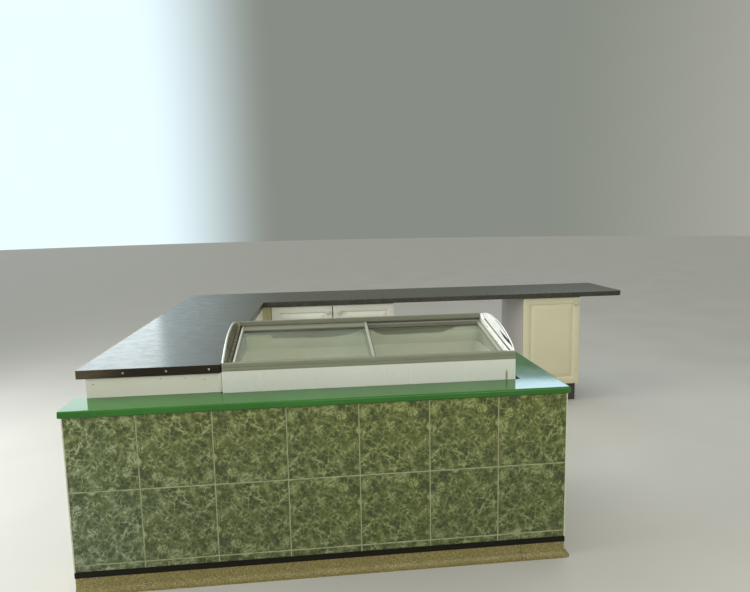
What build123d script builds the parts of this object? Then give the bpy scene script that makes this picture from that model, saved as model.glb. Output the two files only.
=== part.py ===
from build123d import *
import math
import os

os.makedirs("parts", exist_ok=True)

# ---------------------------------------------------------------------------
# A built-in shop serving counter, U-shaped in plan: a tiled front counter with
# a glossy ledge, a chest display freezer with two sliding lids set in behind
# it, a worktop return on the left, and a back worktop over two base units with
# an open bay between them.  Millimetres, +Z up, floor at z = 0.
#
# Plan positions are written from the front left corner of the tiled face and
# moved by X and Y, so that the origin is the middle of the footprint.
# ---------------------------------------------------------------------------
X = -1768.5
Y = -1351.5

# tiled front
TILE = 305.0                 # one tile of the front, and the module of the plan
FRONT_X0, FRONT_X1 = 19.0, 2138.0
PLINTH_H = 66.0
STRIP_TOP = 91.5
LEDGE_Z0, LEDGE_Z1 = 759.0, 789.0
PANEL_T = 12.0
COVE_R = 25.0
COVE_FOOT = 2.0
WALL_BACK = 95.0             # back of the framed front wall
END_INNER = 1990.0           # freezer side of the end wall
END_BACK = 850.0             # staff end of the end wall
LEDGE_FRONT, LEDGE_BACK = -15.0, 148.0
LEDGE_X0, LEDGE_X1 = 9.0, 2152.0

# worktops
TOP_Z0, TOP_Z1 = 876.0, 914.0
RETURN_X0, RETURN_X1 = 27.0, 672.0
RETURN_NOTCH_X, RETURN_NOTCH_Y = 630.0, 842.0
RETURN_INNER_X = 640.0       # inner edge just behind the freezer; it runs out to RETURN_X1
RETURN_Y0 = 160.0
OUTER_Y0 = 260.0             # front of the outer side panel
BACK_Y0, BACK_Y1, BACK_X1 = 2126.0, 2728.0, 3528.0
BACK_CORNER_R = 45.0
EDGE_R = 3.0                 # worktop arris

# base units
BOARD = 18.0
DOOR_Y0, DOOR_Z0, DOOR_Z1 = 2153.0, 157.0, 870.0
UNIT_Y0, UNIT_Y1, UNIT_Z0 = 2176.0, 2712.0, 155.0
LEFT_UNIT = (724.0, 1672.0)
RIGHT_UNIT = (2715.0, 3188.0)
DOORS = {"left_unit_left_door": (726.0, 1188.0),
         "left_unit_right_door": (1194.0, 1670.0),
         "right_unit_door": (2717.0, 3186.0)}
ROUT_IN, ROUT_W, ROUT_D = 52.0, 30.0, 3.0

# freezer
FZ_X0, FZ_X1 = 637.0, 1958.0
FZ_Y0, FZ_Y1 = 154.0, 834.0
FZ_FEET, FZ_TOP = 40.0, 882.5
FRONT_RAIL_Z = 919.0
FZ_EDGE_R = 4.0              # upright edges of the cabinet and of its front rail
CAP_T = 37.0
CAP_RIM = 8.0                # outer part of each end cap, with the full arch
CAP_TRIM = 14.0              # inner part of each end cap, a straight bar beside the lids
CAV_X0, CAV_X1 = 697.0, 1898.0
CAV_Y0, CAV_Y1 = 230.0, 588.0
CAV_Z0 = 250.0
HUMP_X, HUMP_Z = 872.0, 610.0    # raised step over the compressor
LINER_T = 3.0

# sliding lids: they slope up to the rear, with a very slight bow about an axis along X
LID_R, LID_YC, LID_ZC = 20000.0, 4269.0, -18664.4
LID_T = 10.0
UPPER_Y = (184.0, 638.0)
LOWER_Y = (212.0, 606.0)
REAR_STEP, REAR_GROOVE, REAR_FACE = 612.0, 644.0, 615.0     # rear rail: lower step, upper groove, lip
LOWER_DROP = 16.0
UPPER_X = (680.0, 1318.0)
LOWER_X = (1290.0, 1915.0)
LID_GAP = 6.0
CAP_Y0 = 166.0               # the caps stand just behind the front rail's lip
CAP_EDGE_R = 2.5
PANE_TOP, PANE_FOOT = 5.5, 9.5              # a lid's pane, down from the lid's top surface


def lid_z(y, drop=0.0):
    """Height of the upper lid's top surface over depth y, less drop."""
    return LID_ZC + math.sqrt(LID_R ** 2 - (y - LID_YC) ** 2) - drop


def block(x0, x1, y0, y1, z0, z1, mode=Mode.ADD):
    """A plain board or bar between two corners."""
    with Locations((X + (x0 + x1) / 2, Y + (y0 + y1) / 2, (z0 + z1) / 2)):
        Box(x1 - x0, y1 - y0, z1 - z0, mode=mode)


def save(piece, name):
    piece.part.label = name
    export_step(piece.part, "parts/" + name + ".step")
    return piece


# ---------------------------------------------------------------------------
# front counter
# ---------------------------------------------------------------------------
# plinth with its coved skirting, turned round the right-hand corner
with BuildPart() as plinth_skirting:
    with BuildSketch(Plane.YZ.offset(X + FRONT_X0)):
        with BuildLine():
            Polyline((Y + WALL_BACK, 0), (Y + WALL_BACK, PLINTH_H), (Y, PLINTH_H),
                     (Y, COVE_R + COVE_FOOT))
            ThreePointArc((Y, COVE_R + COVE_FOOT),
                          (Y - COVE_R + COVE_R * math.cos(math.radians(45)),
                           COVE_R + COVE_FOOT - COVE_R * math.sin(math.radians(45))),
                          (Y - COVE_R, COVE_FOOT))
            Polyline((Y - COVE_R, COVE_FOOT), (Y - COVE_R, 0), (Y + WALL_BACK, 0))
        make_face()
    extrude(amount=FRONT_X1 - FRONT_X0)
    with BuildSketch(Plane.XZ.offset(-Y)) as end_profile:
        with BuildLine():
            Polyline((X + END_INNER, 0), (X + END_INNER, PLINTH_H), (X + FRONT_X1, PLINTH_H),
                     (X + FRONT_X1, COVE_R + COVE_FOOT))
            ThreePointArc((X + FRONT_X1, COVE_R + COVE_FOOT),
                          (X + FRONT_X1 + COVE_R - COVE_R * math.cos(math.radians(45)),
                           COVE_R + COVE_FOOT - COVE_R * math.sin(math.radians(45))),
                          (X + FRONT_X1 + COVE_R, COVE_FOOT))
            Polyline((X + FRONT_X1 + COVE_R, COVE_FOOT), (X + FRONT_X1 + COVE_R, 0),
                     (X + END_INNER, 0))
        make_face()
    extrude(amount=-END_BACK)
    # outside corner of the cove
    with BuildSketch(Plane.XZ.offset(-Y)):
        with BuildLine():
            Line((X + FRONT_X1, 0), (X + FRONT_X1, COVE_R + COVE_FOOT))
            ThreePointArc((X + FRONT_X1, COVE_R + COVE_FOOT),
                          (X + FRONT_X1 + COVE_R - COVE_R * math.cos(math.radians(45)),
                           COVE_R + COVE_FOOT - COVE_R * math.sin(math.radians(45))),
                          (X + FRONT_X1 + COVE_R, COVE_FOOT))
            Polyline((X + FRONT_X1 + COVE_R, COVE_FOOT), (X + FRONT_X1 + COVE_R, 0),
                     (X + FRONT_X1, 0))
        make_face()
    revolve(axis=Axis((X + FRONT_X1, Y, 0), (0, 0, -1)), revolution_arc=90)
save(plinth_skirting, "plinth_skirting")

# dark strip between the plinth and the tiles
with BuildPart() as base_strip:
    block(FRONT_X0 - 2, FRONT_X1 + 2, -2, PANEL_T, PLINTH_H, STRIP_TOP)
    block(FRONT_X1 - PANEL_T, FRONT_X1 + 2, PANEL_T, END_BACK, PLINTH_H, STRIP_TOP)
save(base_strip, "base_strip")

with BuildPart() as front_tile_panel:
    block(FRONT_X0, FRONT_X1, 0, PANEL_T, STRIP_TOP, LEDGE_Z0)
save(front_tile_panel, "front_tile_panel")

with BuildPart() as end_tile_panel:
    block(FRONT_X1 - PANEL_T, FRONT_X1, PANEL_T, END_BACK, STRIP_TOP, LEDGE_Z0)
save(end_tile_panel, "end_tile_panel")

# board behind the tiles, on the front and round the end
with BuildPart() as backing_board:
    block(FRONT_X0 + PANEL_T, FRONT_X1 - PANEL_T, PANEL_T, PANEL_T + BOARD, PLINTH_H, LEDGE_Z0)
save(backing_board, "backing_board")

# timber posts of the front wall and of the end wall
POST = 45.0
with BuildPart() as wall_posts:
    for px in (33.0, 430.0, 827.0, 1224.0, 1621.0, 1940.0):
        block(px, px + POST, PANEL_T + BOARD, WALL_BACK, PLINTH_H + POST, LEDGE_Z0 - POST)
    for py in (140.0, 460.0, 780.0):
        block(END_INNER + PANEL_T, FRONT_X1 - PANEL_T, py, py + POST, PLINTH_H + POST, LEDGE_Z0 - POST)
save(wall_posts, "wall_posts")

with BuildPart() as wall_rails:
    for z in (PLINTH_H, LEDGE_Z0 - POST):
        block(FRONT_X0 + PANEL_T, END_INNER, PANEL_T + BOARD, WALL_BACK, z, z + POST)
        block(END_INNER + PANEL_T, FRONT_X1 - PANEL_T, PANEL_T + BOARD, END_BACK - PANEL_T, z, z + POST)
save(wall_rails, "wall_rails")

with BuildPart() as end_wall_lining:
    block(END_INNER, END_INNER + PANEL_T, PANEL_T + BOARD, END_BACK - PANEL_T, PLINTH_H, LEDGE_Z0)
save(end_wall_lining, "end_wall_lining")

with BuildPart() as end_wall_rear_board:
    block(END_INNER, FRONT_X1 - PANEL_T, END_BACK - PANEL_T, END_BACK, PLINTH_H, LEDGE_Z0)
save(end_wall_rear_board, "end_wall_rear_board")

with BuildPart() as left_end_board:
    block(FRONT_X0, FRONT_X0 + PANEL_T, PANEL_T, OUTER_Y0, PLINTH_H, LEDGE_Z0)
    block(FRONT_X0, FRONT_X0 + PANEL_T, WALL_BACK, OUTER_Y0, 0, PLINTH_H)
    block(FRONT_X0 + PANEL_T, 62 + BOARD, 187, OUTER_Y0, LEDGE_Z0 - BOARD, LEDGE_Z0)
save(left_end_board, "left_end_board")

# glossy ledge with its round front nose, running back beside the freezer
with BuildPart() as ledge_top:
    with BuildSketch(Plane.XY.offset(LEDGE_Z0)):
        with BuildLine():
            Polyline((X + LEDGE_X0, Y + LEDGE_FRONT), (X + LEDGE_X1, Y + LEDGE_FRONT),
                     (X + LEDGE_X1, Y + END_BACK + 10), (X + FZ_X1 + 20, Y + END_BACK + 10),
                     (X + FZ_X1 + 20, Y + LEDGE_BACK), (X + RETURN_NOTCH_X, Y + LEDGE_BACK),
                     (X + RETURN_NOTCH_X, Y + 187), (X + LEDGE_X0, Y + 187), close=True)
        make_face()
    extrude(amount=LEDGE_Z1 - LEDGE_Z0)
    corner = ledge_top.edges().filter_by(Axis.Z).sort_by(Axis.Y)[:2].sort_by(Axis.X)[-1]
    fillet(corner, radius=14)
    nose = [e for e in ledge_top.edges()
            if (e.center().Y < Y + LEDGE_FRONT + 15 or e.center().X > X + LEDGE_X1 - 15)
            and abs(e.tangent_at(0.5).Z) < 0.1 and e.center().Y < Y + END_BACK]
    fillet(nose, radius=9)
save(ledge_top, "ledge_top")

# pale angle beads on the two vertical corners of the tiled front
BEAD = 2.0
with BuildPart() as corner_beads:
    block(FRONT_X0 - BEAD, FRONT_X0 + 3, -BEAD, 0, STRIP_TOP, LEDGE_Z0)
    block(FRONT_X0 - BEAD, FRONT_X0, 0, 5, STRIP_TOP, LEDGE_Z0)
    block(FRONT_X1 - 3, FRONT_X1 + BEAD, -BEAD, 0, STRIP_TOP, LEDGE_Z0)
    block(FRONT_X1, FRONT_X1 + BEAD, 0, 5, STRIP_TOP, LEDGE_Z0)
save(corner_beads, "corner_beads")

# ---------------------------------------------------------------------------
# left return
# ---------------------------------------------------------------------------
with BuildPart() as upstand_panel:
    block(62, RETURN_NOTCH_X, 169, 187, LEDGE_Z1, TOP_Z0)
    # its left end turns back to the outer panel
    block(62, 62 + BOARD, 187, OUTER_Y0 + BOARD, LEDGE_Z0, TOP_Z0)
    block(47, 62, OUTER_Y0, OUTER_Y0 + BOARD, LEDGE_Z0, TOP_Z0)
save(upstand_panel, "upstand_panel")

with BuildPart() as left_worktop:
    with BuildSketch(Plane.XY.offset(TOP_Z0)):
        with BuildLine():
            Polyline((X + RETURN_X0, Y + RETURN_Y0), (X + RETURN_NOTCH_X, Y + RETURN_Y0),
                     (X + RETURN_NOTCH_X, Y + RETURN_NOTCH_Y), (X + RETURN_INNER_X, Y + RETURN_NOTCH_Y),
                     (X + RETURN_X1, Y + BACK_Y0), (X + RETURN_X0, Y + BACK_Y0), close=True)
        make_face()
    extrude(amount=TOP_Z1 - TOP_Z0)
    fillet([e for e in left_worktop.edges()
            if abs(e.tangent_at(0.5).Y) > 0.9 and e.center().X > X + RETURN_X0 + 5], radius=EDGE_R)
save(left_worktop, "left_worktop")

with BuildPart() as edge_strip:
    block(RETURN_X0, RETURN_NOTCH_X, RETURN_Y0 - 3, RETURN_Y0, TOP_Z0, TOP_Z1)
    fillet(edge_strip.edges().filter_by(Axis.X).group_by(Axis.Y)[0], radius=1.2)
save(edge_strip, "edge_strip")

with BuildPart() as left_outer_panel:
    block(29, 47, OUTER_Y0, BACK_Y1 - 18, 0, TOP_Z0)
save(left_outer_panel, "left_outer_panel")

with BuildPart() as left_inner_panel:
    block(602, 620, 187, RETURN_NOTCH_Y, 0, TOP_Z0)
    with BuildSketch():
        with BuildLine():
            Polyline((X + 610, Y + RETURN_NOTCH_Y), (X + 628, Y + RETURN_NOTCH_Y), (X + 660, Y + 2153),
                     (X + 642, Y + 2153), close=True)
        make_face()
    extrude(amount=TOP_Z0)
save(left_inner_panel, "left_inner_panel")

with BuildPart() as corner_post:
    block(660, 720, 2153, 2213, 0, TOP_Z0)
save(corner_post, "corner_post")

# ---------------------------------------------------------------------------
# back run
# ---------------------------------------------------------------------------
with BuildPart() as back_worktop:
    block(RETURN_X0, BACK_X1, BACK_Y0, BACK_Y1, TOP_Z0, TOP_Z1)
    fillet(back_worktop.edges().filter_by(Axis.Z).group_by(Axis.X)[-1].sort_by(Axis.Y)[0],
           radius=BACK_CORNER_R)
    fillet([e for e in back_worktop.edges()
            if abs(e.tangent_at(0.5).Z) < 0.1 and e.center().Y < Y + BACK_Y1 - 5
            and e.center().X > X + RETURN_X0 + 5], radius=EDGE_R)
save(back_worktop, "back_worktop")

for unit, name in ((LEFT_UNIT, "left_unit_sides"), (RIGHT_UNIT, "right_unit_sides")):
    with BuildPart() as unit_sides:
        block(unit[0], unit[0] + BOARD, UNIT_Y0, UNIT_Y1, UNIT_Z0, TOP_Z0)
        block(unit[1] - BOARD, unit[1], UNIT_Y0, UNIT_Y1, UNIT_Z0, TOP_Z0)
    save(unit_sides, name)

with BuildPart() as unit_bases:
    for unit in (LEFT_UNIT, RIGHT_UNIT):
        block(unit[0] + BOARD, unit[1] - BOARD, UNIT_Y0, UNIT_Y1 - 8, UNIT_Z0, UNIT_Z0 + BOARD)
save(unit_bases, "unit_bases")

with BuildPart() as unit_backs:
    for unit in (LEFT_UNIT, RIGHT_UNIT):
        block(unit[0] + BOARD, unit[1] - BOARD, UNIT_Y1 - 8, UNIT_Y1, UNIT_Z0, TOP_Z0)
save(unit_backs, "unit_backs")

with BuildPart() as unit_shelves:
    for unit in (LEFT_UNIT, RIGHT_UNIT):
        block(unit[0] + BOARD, unit[1] - BOARD, UNIT_Y0 + 40, UNIT_Y1 - 8, 500, 500 + BOARD)
save(unit_shelves, "unit_shelves")

with BuildPart() as unit_top_rails:
    for unit in (LEFT_UNIT, RIGHT_UNIT):
        block(unit[0] + BOARD, unit[1] - BOARD, UNIT_Y0, UNIT_Y0 + 90, TOP_Z0 - BOARD, TOP_Z0)
        block(unit[0] + BOARD, unit[1] - BOARD, UNIT_Y1 - 98, UNIT_Y1 - 8, TOP_Z0 - BOARD, TOP_Z0)
save(unit_top_rails, "unit_top_rails")

with BuildPart() as unit_plinths:
    for unit in (LEFT_UNIT, RIGHT_UNIT):
        block(unit[0], unit[1], UNIT_Y0 + 45, UNIT_Y0 + 63, 0, UNIT_Z0)
        block(unit[0], unit[1], UNIT_Y1 - 63, UNIT_Y1 - 45, 0, UNIT_Z0)
save(unit_plinths, "unit_plinths")

with BuildPart() as unit_plinth_returns:
    for unit in (LEFT_UNIT, RIGHT_UNIT):
        for x0 in (unit[0], unit[1] - BOARD):
            block(x0, x0 + BOARD, UNIT_Y0 + 63, UNIT_Y1 - 63, 0, UNIT_Z0)
save(unit_plinth_returns, "unit_plinth_returns")

# doors with a routed panel line, and their round knobs
for name, (x0, x1) in DOORS.items():
    w, h = x1 - x0, DOOR_Z1 - DOOR_Z0
    with BuildPart() as door:
        block(x0, x1, DOOR_Y0, DOOR_Y0 + BOARD, DOOR_Z0, DOOR_Z1)
        with BuildSketch(Plane((X + (x0 + x1) / 2, Y + DOOR_Y0, (DOOR_Z0 + DOOR_Z1) / 2),
                               x_dir=(1, 0, 0), z_dir=(0, -1, 0))):
            Rectangle(w - 2 * ROUT_IN, h - 2 * ROUT_IN)
            Rectangle(w - 2 * (ROUT_IN + ROUT_W), h - 2 * (ROUT_IN + ROUT_W), mode=Mode.SUBTRACT)
        extrude(amount=-ROUT_D, mode=Mode.SUBTRACT)
    save(door, name)

KNOB_Z = 818.0
for name, kx in (("left_unit_left_knob", 1163.0), ("left_unit_right_knob", 1245.0),
                 ("right_unit_knob", 3150.0)):
    with BuildPart() as knob:
        with BuildSketch(Plane((X + kx, Y + DOOR_Y0, KNOB_Z), x_dir=(1, 0, 0), z_dir=(0, 0, 1))):
            with BuildLine():
                Polyline((0, 0), (9, 0), (7, -10), (14, -14))
                ThreePointArc((14, -14), (16, -19), (11, -23))
                Polyline((11, -23), (0, -24), (0, 0))
            make_face()
        revolve(axis=Axis((X + kx, Y + DOOR_Y0, KNOB_Z), (0, 1, 0)), revolution_arc=360)
    save(knob, name)

# ---------------------------------------------------------------------------
# chest freezer
# ---------------------------------------------------------------------------
with BuildPart() as freezer_cabinet:
    block(FZ_X0, FZ_X1, FZ_Y0, FZ_Y1, FZ_FEET, FZ_TOP)
    fillet(freezer_cabinet.edges().filter_by(Axis.Z), radius=FZ_EDGE_R)
    block(HUMP_X, CAV_X1, CAV_Y0, CAV_Y1, CAV_Z0, FZ_TOP, mode=Mode.SUBTRACT)
    block(CAV_X0, HUMP_X, CAV_Y0, CAV_Y1, HUMP_Z, FZ_TOP, mode=Mode.SUBTRACT)
save(freezer_cabinet, "freezer_cabinet")

with BuildPart() as freezer_liner:
    block(HUMP_X, CAV_X1, CAV_Y0, CAV_Y1, CAV_Z0, FZ_TOP)
    block(CAV_X0, HUMP_X, CAV_Y0, CAV_Y1, HUMP_Z, FZ_TOP)
    block(HUMP_X + LINER_T, CAV_X1 - LINER_T, CAV_Y0 + LINER_T, CAV_Y1 - LINER_T,
          CAV_Z0 + LINER_T, FZ_TOP, mode=Mode.SUBTRACT)
    block(CAV_X0 + LINER_T, HUMP_X + LINER_T, CAV_Y0 + LINER_T, CAV_Y1 - LINER_T,
          HUMP_Z + LINER_T, FZ_TOP, mode=Mode.SUBTRACT)
save(freezer_liner, "freezer_liner")

with BuildPart() as freezer_feet:
    with BuildSketch(Plane.XY):
        with Locations((X + FZ_X0 + 90, Y + FZ_Y0 + 90), (X + FZ_X1 - 90, Y + FZ_Y0 + 90),
                       (X + FZ_X0 + 90, Y + FZ_Y1 - 90), (X + FZ_X1 - 90, Y + FZ_Y1 - 90)):
            Circle(25)
    extrude(amount=FZ_FEET)
save(freezer_feet, "freezer_feet")

# grey front rail: outer lip, then a step for each lid
with BuildPart() as freezer_front_rail:
    with BuildSketch(Plane.YZ.offset(X + FZ_X0 + CAP_T)):
        with BuildLine():
            Polyline((Y + FZ_Y0, FZ_TOP), (Y + FZ_Y0, FRONT_RAIL_Z - 4), (Y + FZ_Y0 + 4, FRONT_RAIL_Z),
                     (Y + 178, FRONT_RAIL_Z),
                     (Y + 178, lid_z(184, LID_T + LID_GAP)),
                     (Y + 206, lid_z(206, LID_T + LID_GAP)),
                     (Y + 206, lid_z(206, LOWER_DROP + LID_T + LID_GAP)),
                     (Y + CAV_Y0, lid_z(CAV_Y0, LOWER_DROP + LID_T + LID_GAP)),
                     (Y + CAV_Y0, FZ_TOP), close=True)
        make_face()
    extrude(amount=FZ_X1 - FZ_X0 - 2 * CAP_T)
    with BuildSketch(Plane.YZ.offset(X + FZ_X0)):
        with BuildLine():
            Polyline((Y + FZ_Y0, FZ_TOP), (Y + FZ_Y0, FRONT_RAIL_Z - 4), (Y + FZ_Y0 + 4, FRONT_RAIL_Z),
                     (Y + CAP_Y0, FRONT_RAIL_Z), (Y + CAP_Y0, FZ_TOP), close=True)
        make_face()
    extrude(amount=FZ_X1 - FZ_X0)
    fillet([e for e in freezer_front_rail.edges().filter_by(Axis.Z)
            if e.center().Y < Y + FZ_Y0 + 1], radius=FZ_EDGE_R)
save(freezer_front_rail, "freezer_front_rail")

# rear rail, higher than the front one, with the sloping cover behind it
with BuildPart() as freezer_rear_rail:
    with BuildSketch(Plane.YZ.offset(X + FZ_X0 + CAP_T)):
        with BuildLine():
            Polyline((Y + CAV_Y1, FZ_TOP),
                     (Y + CAV_Y1, lid_z(CAV_Y1, LOWER_DROP + LID_T + LID_GAP)),
                     (Y + REAR_STEP, lid_z(REAR_STEP, LOWER_DROP + LID_T + LID_GAP)),
                     (Y + REAR_STEP, lid_z(REAR_STEP, LID_T + LID_GAP)),
                     (Y + REAR_GROOVE, lid_z(REAR_GROOVE, LID_T + LID_GAP)),
                     (Y + REAR_GROOVE, lid_z(REAR_GROOVE, -5.4)),
                     (Y + REAR_FACE, lid_z(REAR_FACE, -5.4)),
                     (Y + REAR_FACE, 1021.5), (Y + REAR_FACE + 2.5, 1024), (Y + 640, 1021.5),
                     (Y + 700, 1004), (Y + FZ_Y1, 952),
                     (Y + FZ_Y1, FZ_TOP), close=True)
        make_face()
    extrude(amount=FZ_X1 - FZ_X0 - 2 * CAP_T)
save(freezer_rear_rail, "freezer_rear_rail")

# arched end caps: a rim with the full arch, a face that slopes down from it, a straight trim bar
# beside the lids, and the ledge that closes the side under the lids
ARCH = [(CAP_Y0, 922), (186, 939), (222, 957), (271, 978), (335, 999), (399, 1013), (470, 1023),
        (540, 1028), (600, 1026.5), (650, 1020), (700, 1008), (760, 988), (800, 972), (834, 956)]
TRIM = [(CAP_Y0, 917), (580, lid_z(580, -7)), (603, 1012), (622, 1021), (645, 1018), (700, 1004),
        (760, 984), (800, 968), (834, 952)]


def trim_z(y):
    """Height of the trim bar's top over depth y."""
    for (ya, za), (yb, zb) in zip(TRIM, TRIM[1:]):
        if y <= yb:
            return za + (zb - za) * (y - ya) / (yb - ya)


for name, outer, inner, ledge_end in (
        ("freezer_left_cap", FZ_X0, FZ_X0 + CAP_T, CAV_X0),
        ("freezer_right_cap", FZ_X1, FZ_X1 - CAP_T, CAV_X1)):
    way = 1 if outer < inner else -1
    rim, trim = outer + way * CAP_RIM, inner - way * CAP_TRIM
    with BuildPart() as cap:
        with BuildSketch(Plane.YZ.offset(X + min(outer, rim))):
            with BuildLine():
                Spline(*[(Y + a, b) for a, b in ARCH])
                Polyline((Y + ARCH[-1][0], ARCH[-1][1]), (Y + FZ_Y1, FZ_TOP), (Y + CAP_Y0, FZ_TOP),
                         (Y + ARCH[0][0], ARCH[0][1]))
            make_face()
        extrude(amount=CAP_RIM)
        fillet([e for e in cap.edges() if e.geom_type == GeomType.BSPLINE], radius=CAP_EDGE_R)
        top = [(a, b - 5) for a, b in ARCH]
        foot = [(a, min(b - 5.5, trim_z(a) - 2)) for a, b in ARCH]
        for px, edge in ((rim, top), (trim, foot)):
            with BuildSketch(Plane.YZ.offset(X + px)):
                with BuildLine():
                    Polyline((Y + CAP_Y0, FZ_TOP), *[(Y + a, b) for a, b in edge], (Y + FZ_Y1, FZ_TOP),
                             (Y + CAP_Y0, FZ_TOP))
                make_face()
        loft(ruled=True)
        with BuildSketch(Plane.YZ.offset(X + min(trim, inner))):
            with BuildLine():
                Polyline((Y + CAP_Y0, FZ_TOP), *[(Y + a, b) for a, b in TRIM], (Y + FZ_Y1, FZ_TOP),
                         (Y + CAP_Y0, FZ_TOP))
            make_face()
        extrude(amount=CAP_TRIM)
        with BuildSketch(Plane.YZ.offset(X + min(inner, ledge_end))):
            with BuildLine():
                Polyline((Y + CAV_Y0, FZ_TOP),
                         (Y + CAV_Y0, lid_z(CAV_Y0, LOWER_DROP + LID_T + LID_GAP)),
                         (Y + CAV_Y1, lid_z(CAV_Y1, LOWER_DROP + LID_T + LID_GAP)),
                         (Y + CAV_Y1, FZ_TOP), (Y + CAV_Y0, FZ_TOP))
            make_face()
        extrude(amount=abs(ledge_end - inner))
    save(cap, name)

# the two lids: a slim frame round a curved pane, the left one above the right
for side, (x0, x1), (y0, y1), drop, bars in (
        ("left", UPPER_X, UPPER_Y, 0.0, (10.0, 14.0, 12.0, 78.0)),
        ("right", LOWER_X, LOWER_Y, LOWER_DROP, (14.0, 14.0, 12.0, 16.0))):
    left_bar, right_bar, front_bar, rear_bar = bars
    ym = (y0 + y1) / 2
    with BuildPart() as lid_frame:
        with BuildSketch(Plane.YZ.offset(X + x0)):
            with BuildLine():
                ThreePointArc((Y + y0, lid_z(y0, drop)), (Y + ym, lid_z(ym, drop)), (Y + y1, lid_z(y1, drop)))
                Line((Y + y1, lid_z(y1, drop)), (Y + y1, lid_z(y1, drop + LID_T)))
                ThreePointArc((Y + y1, lid_z(y1, drop + LID_T)), (Y + ym, lid_z(ym, drop + LID_T)),
                              (Y + y0, lid_z(y0, drop + LID_T)))
                Line((Y + y0, lid_z(y0, drop + LID_T)), (Y + y0, lid_z(y0, drop)))
            make_face()
        extrude(amount=x1 - x0)
        block(x0 + left_bar, x1 - right_bar, y0 + front_bar, y1 - rear_bar, 800, 1100, mode=Mode.SUBTRACT)
    save(lid_frame, side + "_lid_frame")

    g0, g1 = y0 + front_bar, y1 - rear_bar
    gm = (g0 + g1) / 2
    pane_top, pane_foot = drop + PANE_TOP, drop + PANE_FOOT
    with BuildPart() as lid_pane:
        with BuildSketch(Plane.YZ.offset(X + x0 + left_bar)):
            with BuildLine():
                ThreePointArc((Y + g0, lid_z(g0, pane_top)), (Y + gm, lid_z(gm, pane_top)),
                              (Y + g1, lid_z(g1, pane_top)))
                Line((Y + g1, lid_z(g1, pane_top)), (Y + g1, lid_z(g1, pane_foot)))
                ThreePointArc((Y + g1, lid_z(g1, pane_foot)), (Y + gm, lid_z(gm, pane_foot)),
                              (Y + g0, lid_z(g0, pane_foot)))
                Line((Y + g0, lid_z(g0, pane_foot)), (Y + g0, lid_z(g0, pane_top)))
            make_face()
        extrude(amount=(x1 - right_bar) - (x0 + left_bar))
    save(lid_pane, side + "_lid_pane")
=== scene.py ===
import math
import random

import bmesh
import bpy
import numpy as np
from mathutils import Matrix, Vector, noise


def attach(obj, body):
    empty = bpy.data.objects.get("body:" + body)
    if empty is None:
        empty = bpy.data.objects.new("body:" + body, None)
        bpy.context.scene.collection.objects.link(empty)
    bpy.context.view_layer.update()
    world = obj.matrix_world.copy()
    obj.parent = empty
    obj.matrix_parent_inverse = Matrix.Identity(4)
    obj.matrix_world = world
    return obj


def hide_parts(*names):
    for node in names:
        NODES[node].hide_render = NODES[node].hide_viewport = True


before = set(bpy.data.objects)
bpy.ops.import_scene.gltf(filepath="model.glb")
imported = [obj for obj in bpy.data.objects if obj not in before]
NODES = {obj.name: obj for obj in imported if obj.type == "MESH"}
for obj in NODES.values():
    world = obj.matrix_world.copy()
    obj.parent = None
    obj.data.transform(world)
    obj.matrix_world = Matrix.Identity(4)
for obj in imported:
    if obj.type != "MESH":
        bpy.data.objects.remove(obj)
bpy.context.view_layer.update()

# Plan positions below are in millimetres from the front left corner of the tiled face, as the
# construction has them; OX and OY move them to the row frame.
OX, OY = -1.7685, -1.3515


def pt(p):
    return (p[0] / 1000 + OX, p[1] / 1000 + OY, p[2] / 1000)


# ---------------------------------------------------------------------------
# camera
# ---------------------------------------------------------------------------
RIGHT = (0.9941995, -0.1058581, -0.0190099)
UP = (0.0324293, 0.1265293, 0.9914326)
AHEAD = (0.1025459, 0.9862983, -0.1292282)
cam_data = bpy.data.cameras.new("camera")
cam_data.sensor_fit = "HORIZONTAL"
cam_data.sensor_width = 36.0
cam_data.lens = 36.0 * 603.43 / 750.0
cam_data.clip_start, cam_data.clip_end = 0.05, 200.0
camera = bpy.data.objects.new("camera", cam_data)
bpy.context.scene.collection.objects.link(camera)
camera.matrix_world = Matrix((
    (RIGHT[0], UP[0], -AHEAD[0], -0.7263058),
    (RIGHT[1], UP[1], -AHEAD[1], -3.8183700),
    (RIGHT[2], UP[2], -AHEAD[2], 1.5371411),
    (0, 0, 0, 1)))
bpy.context.scene.camera = camera


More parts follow.
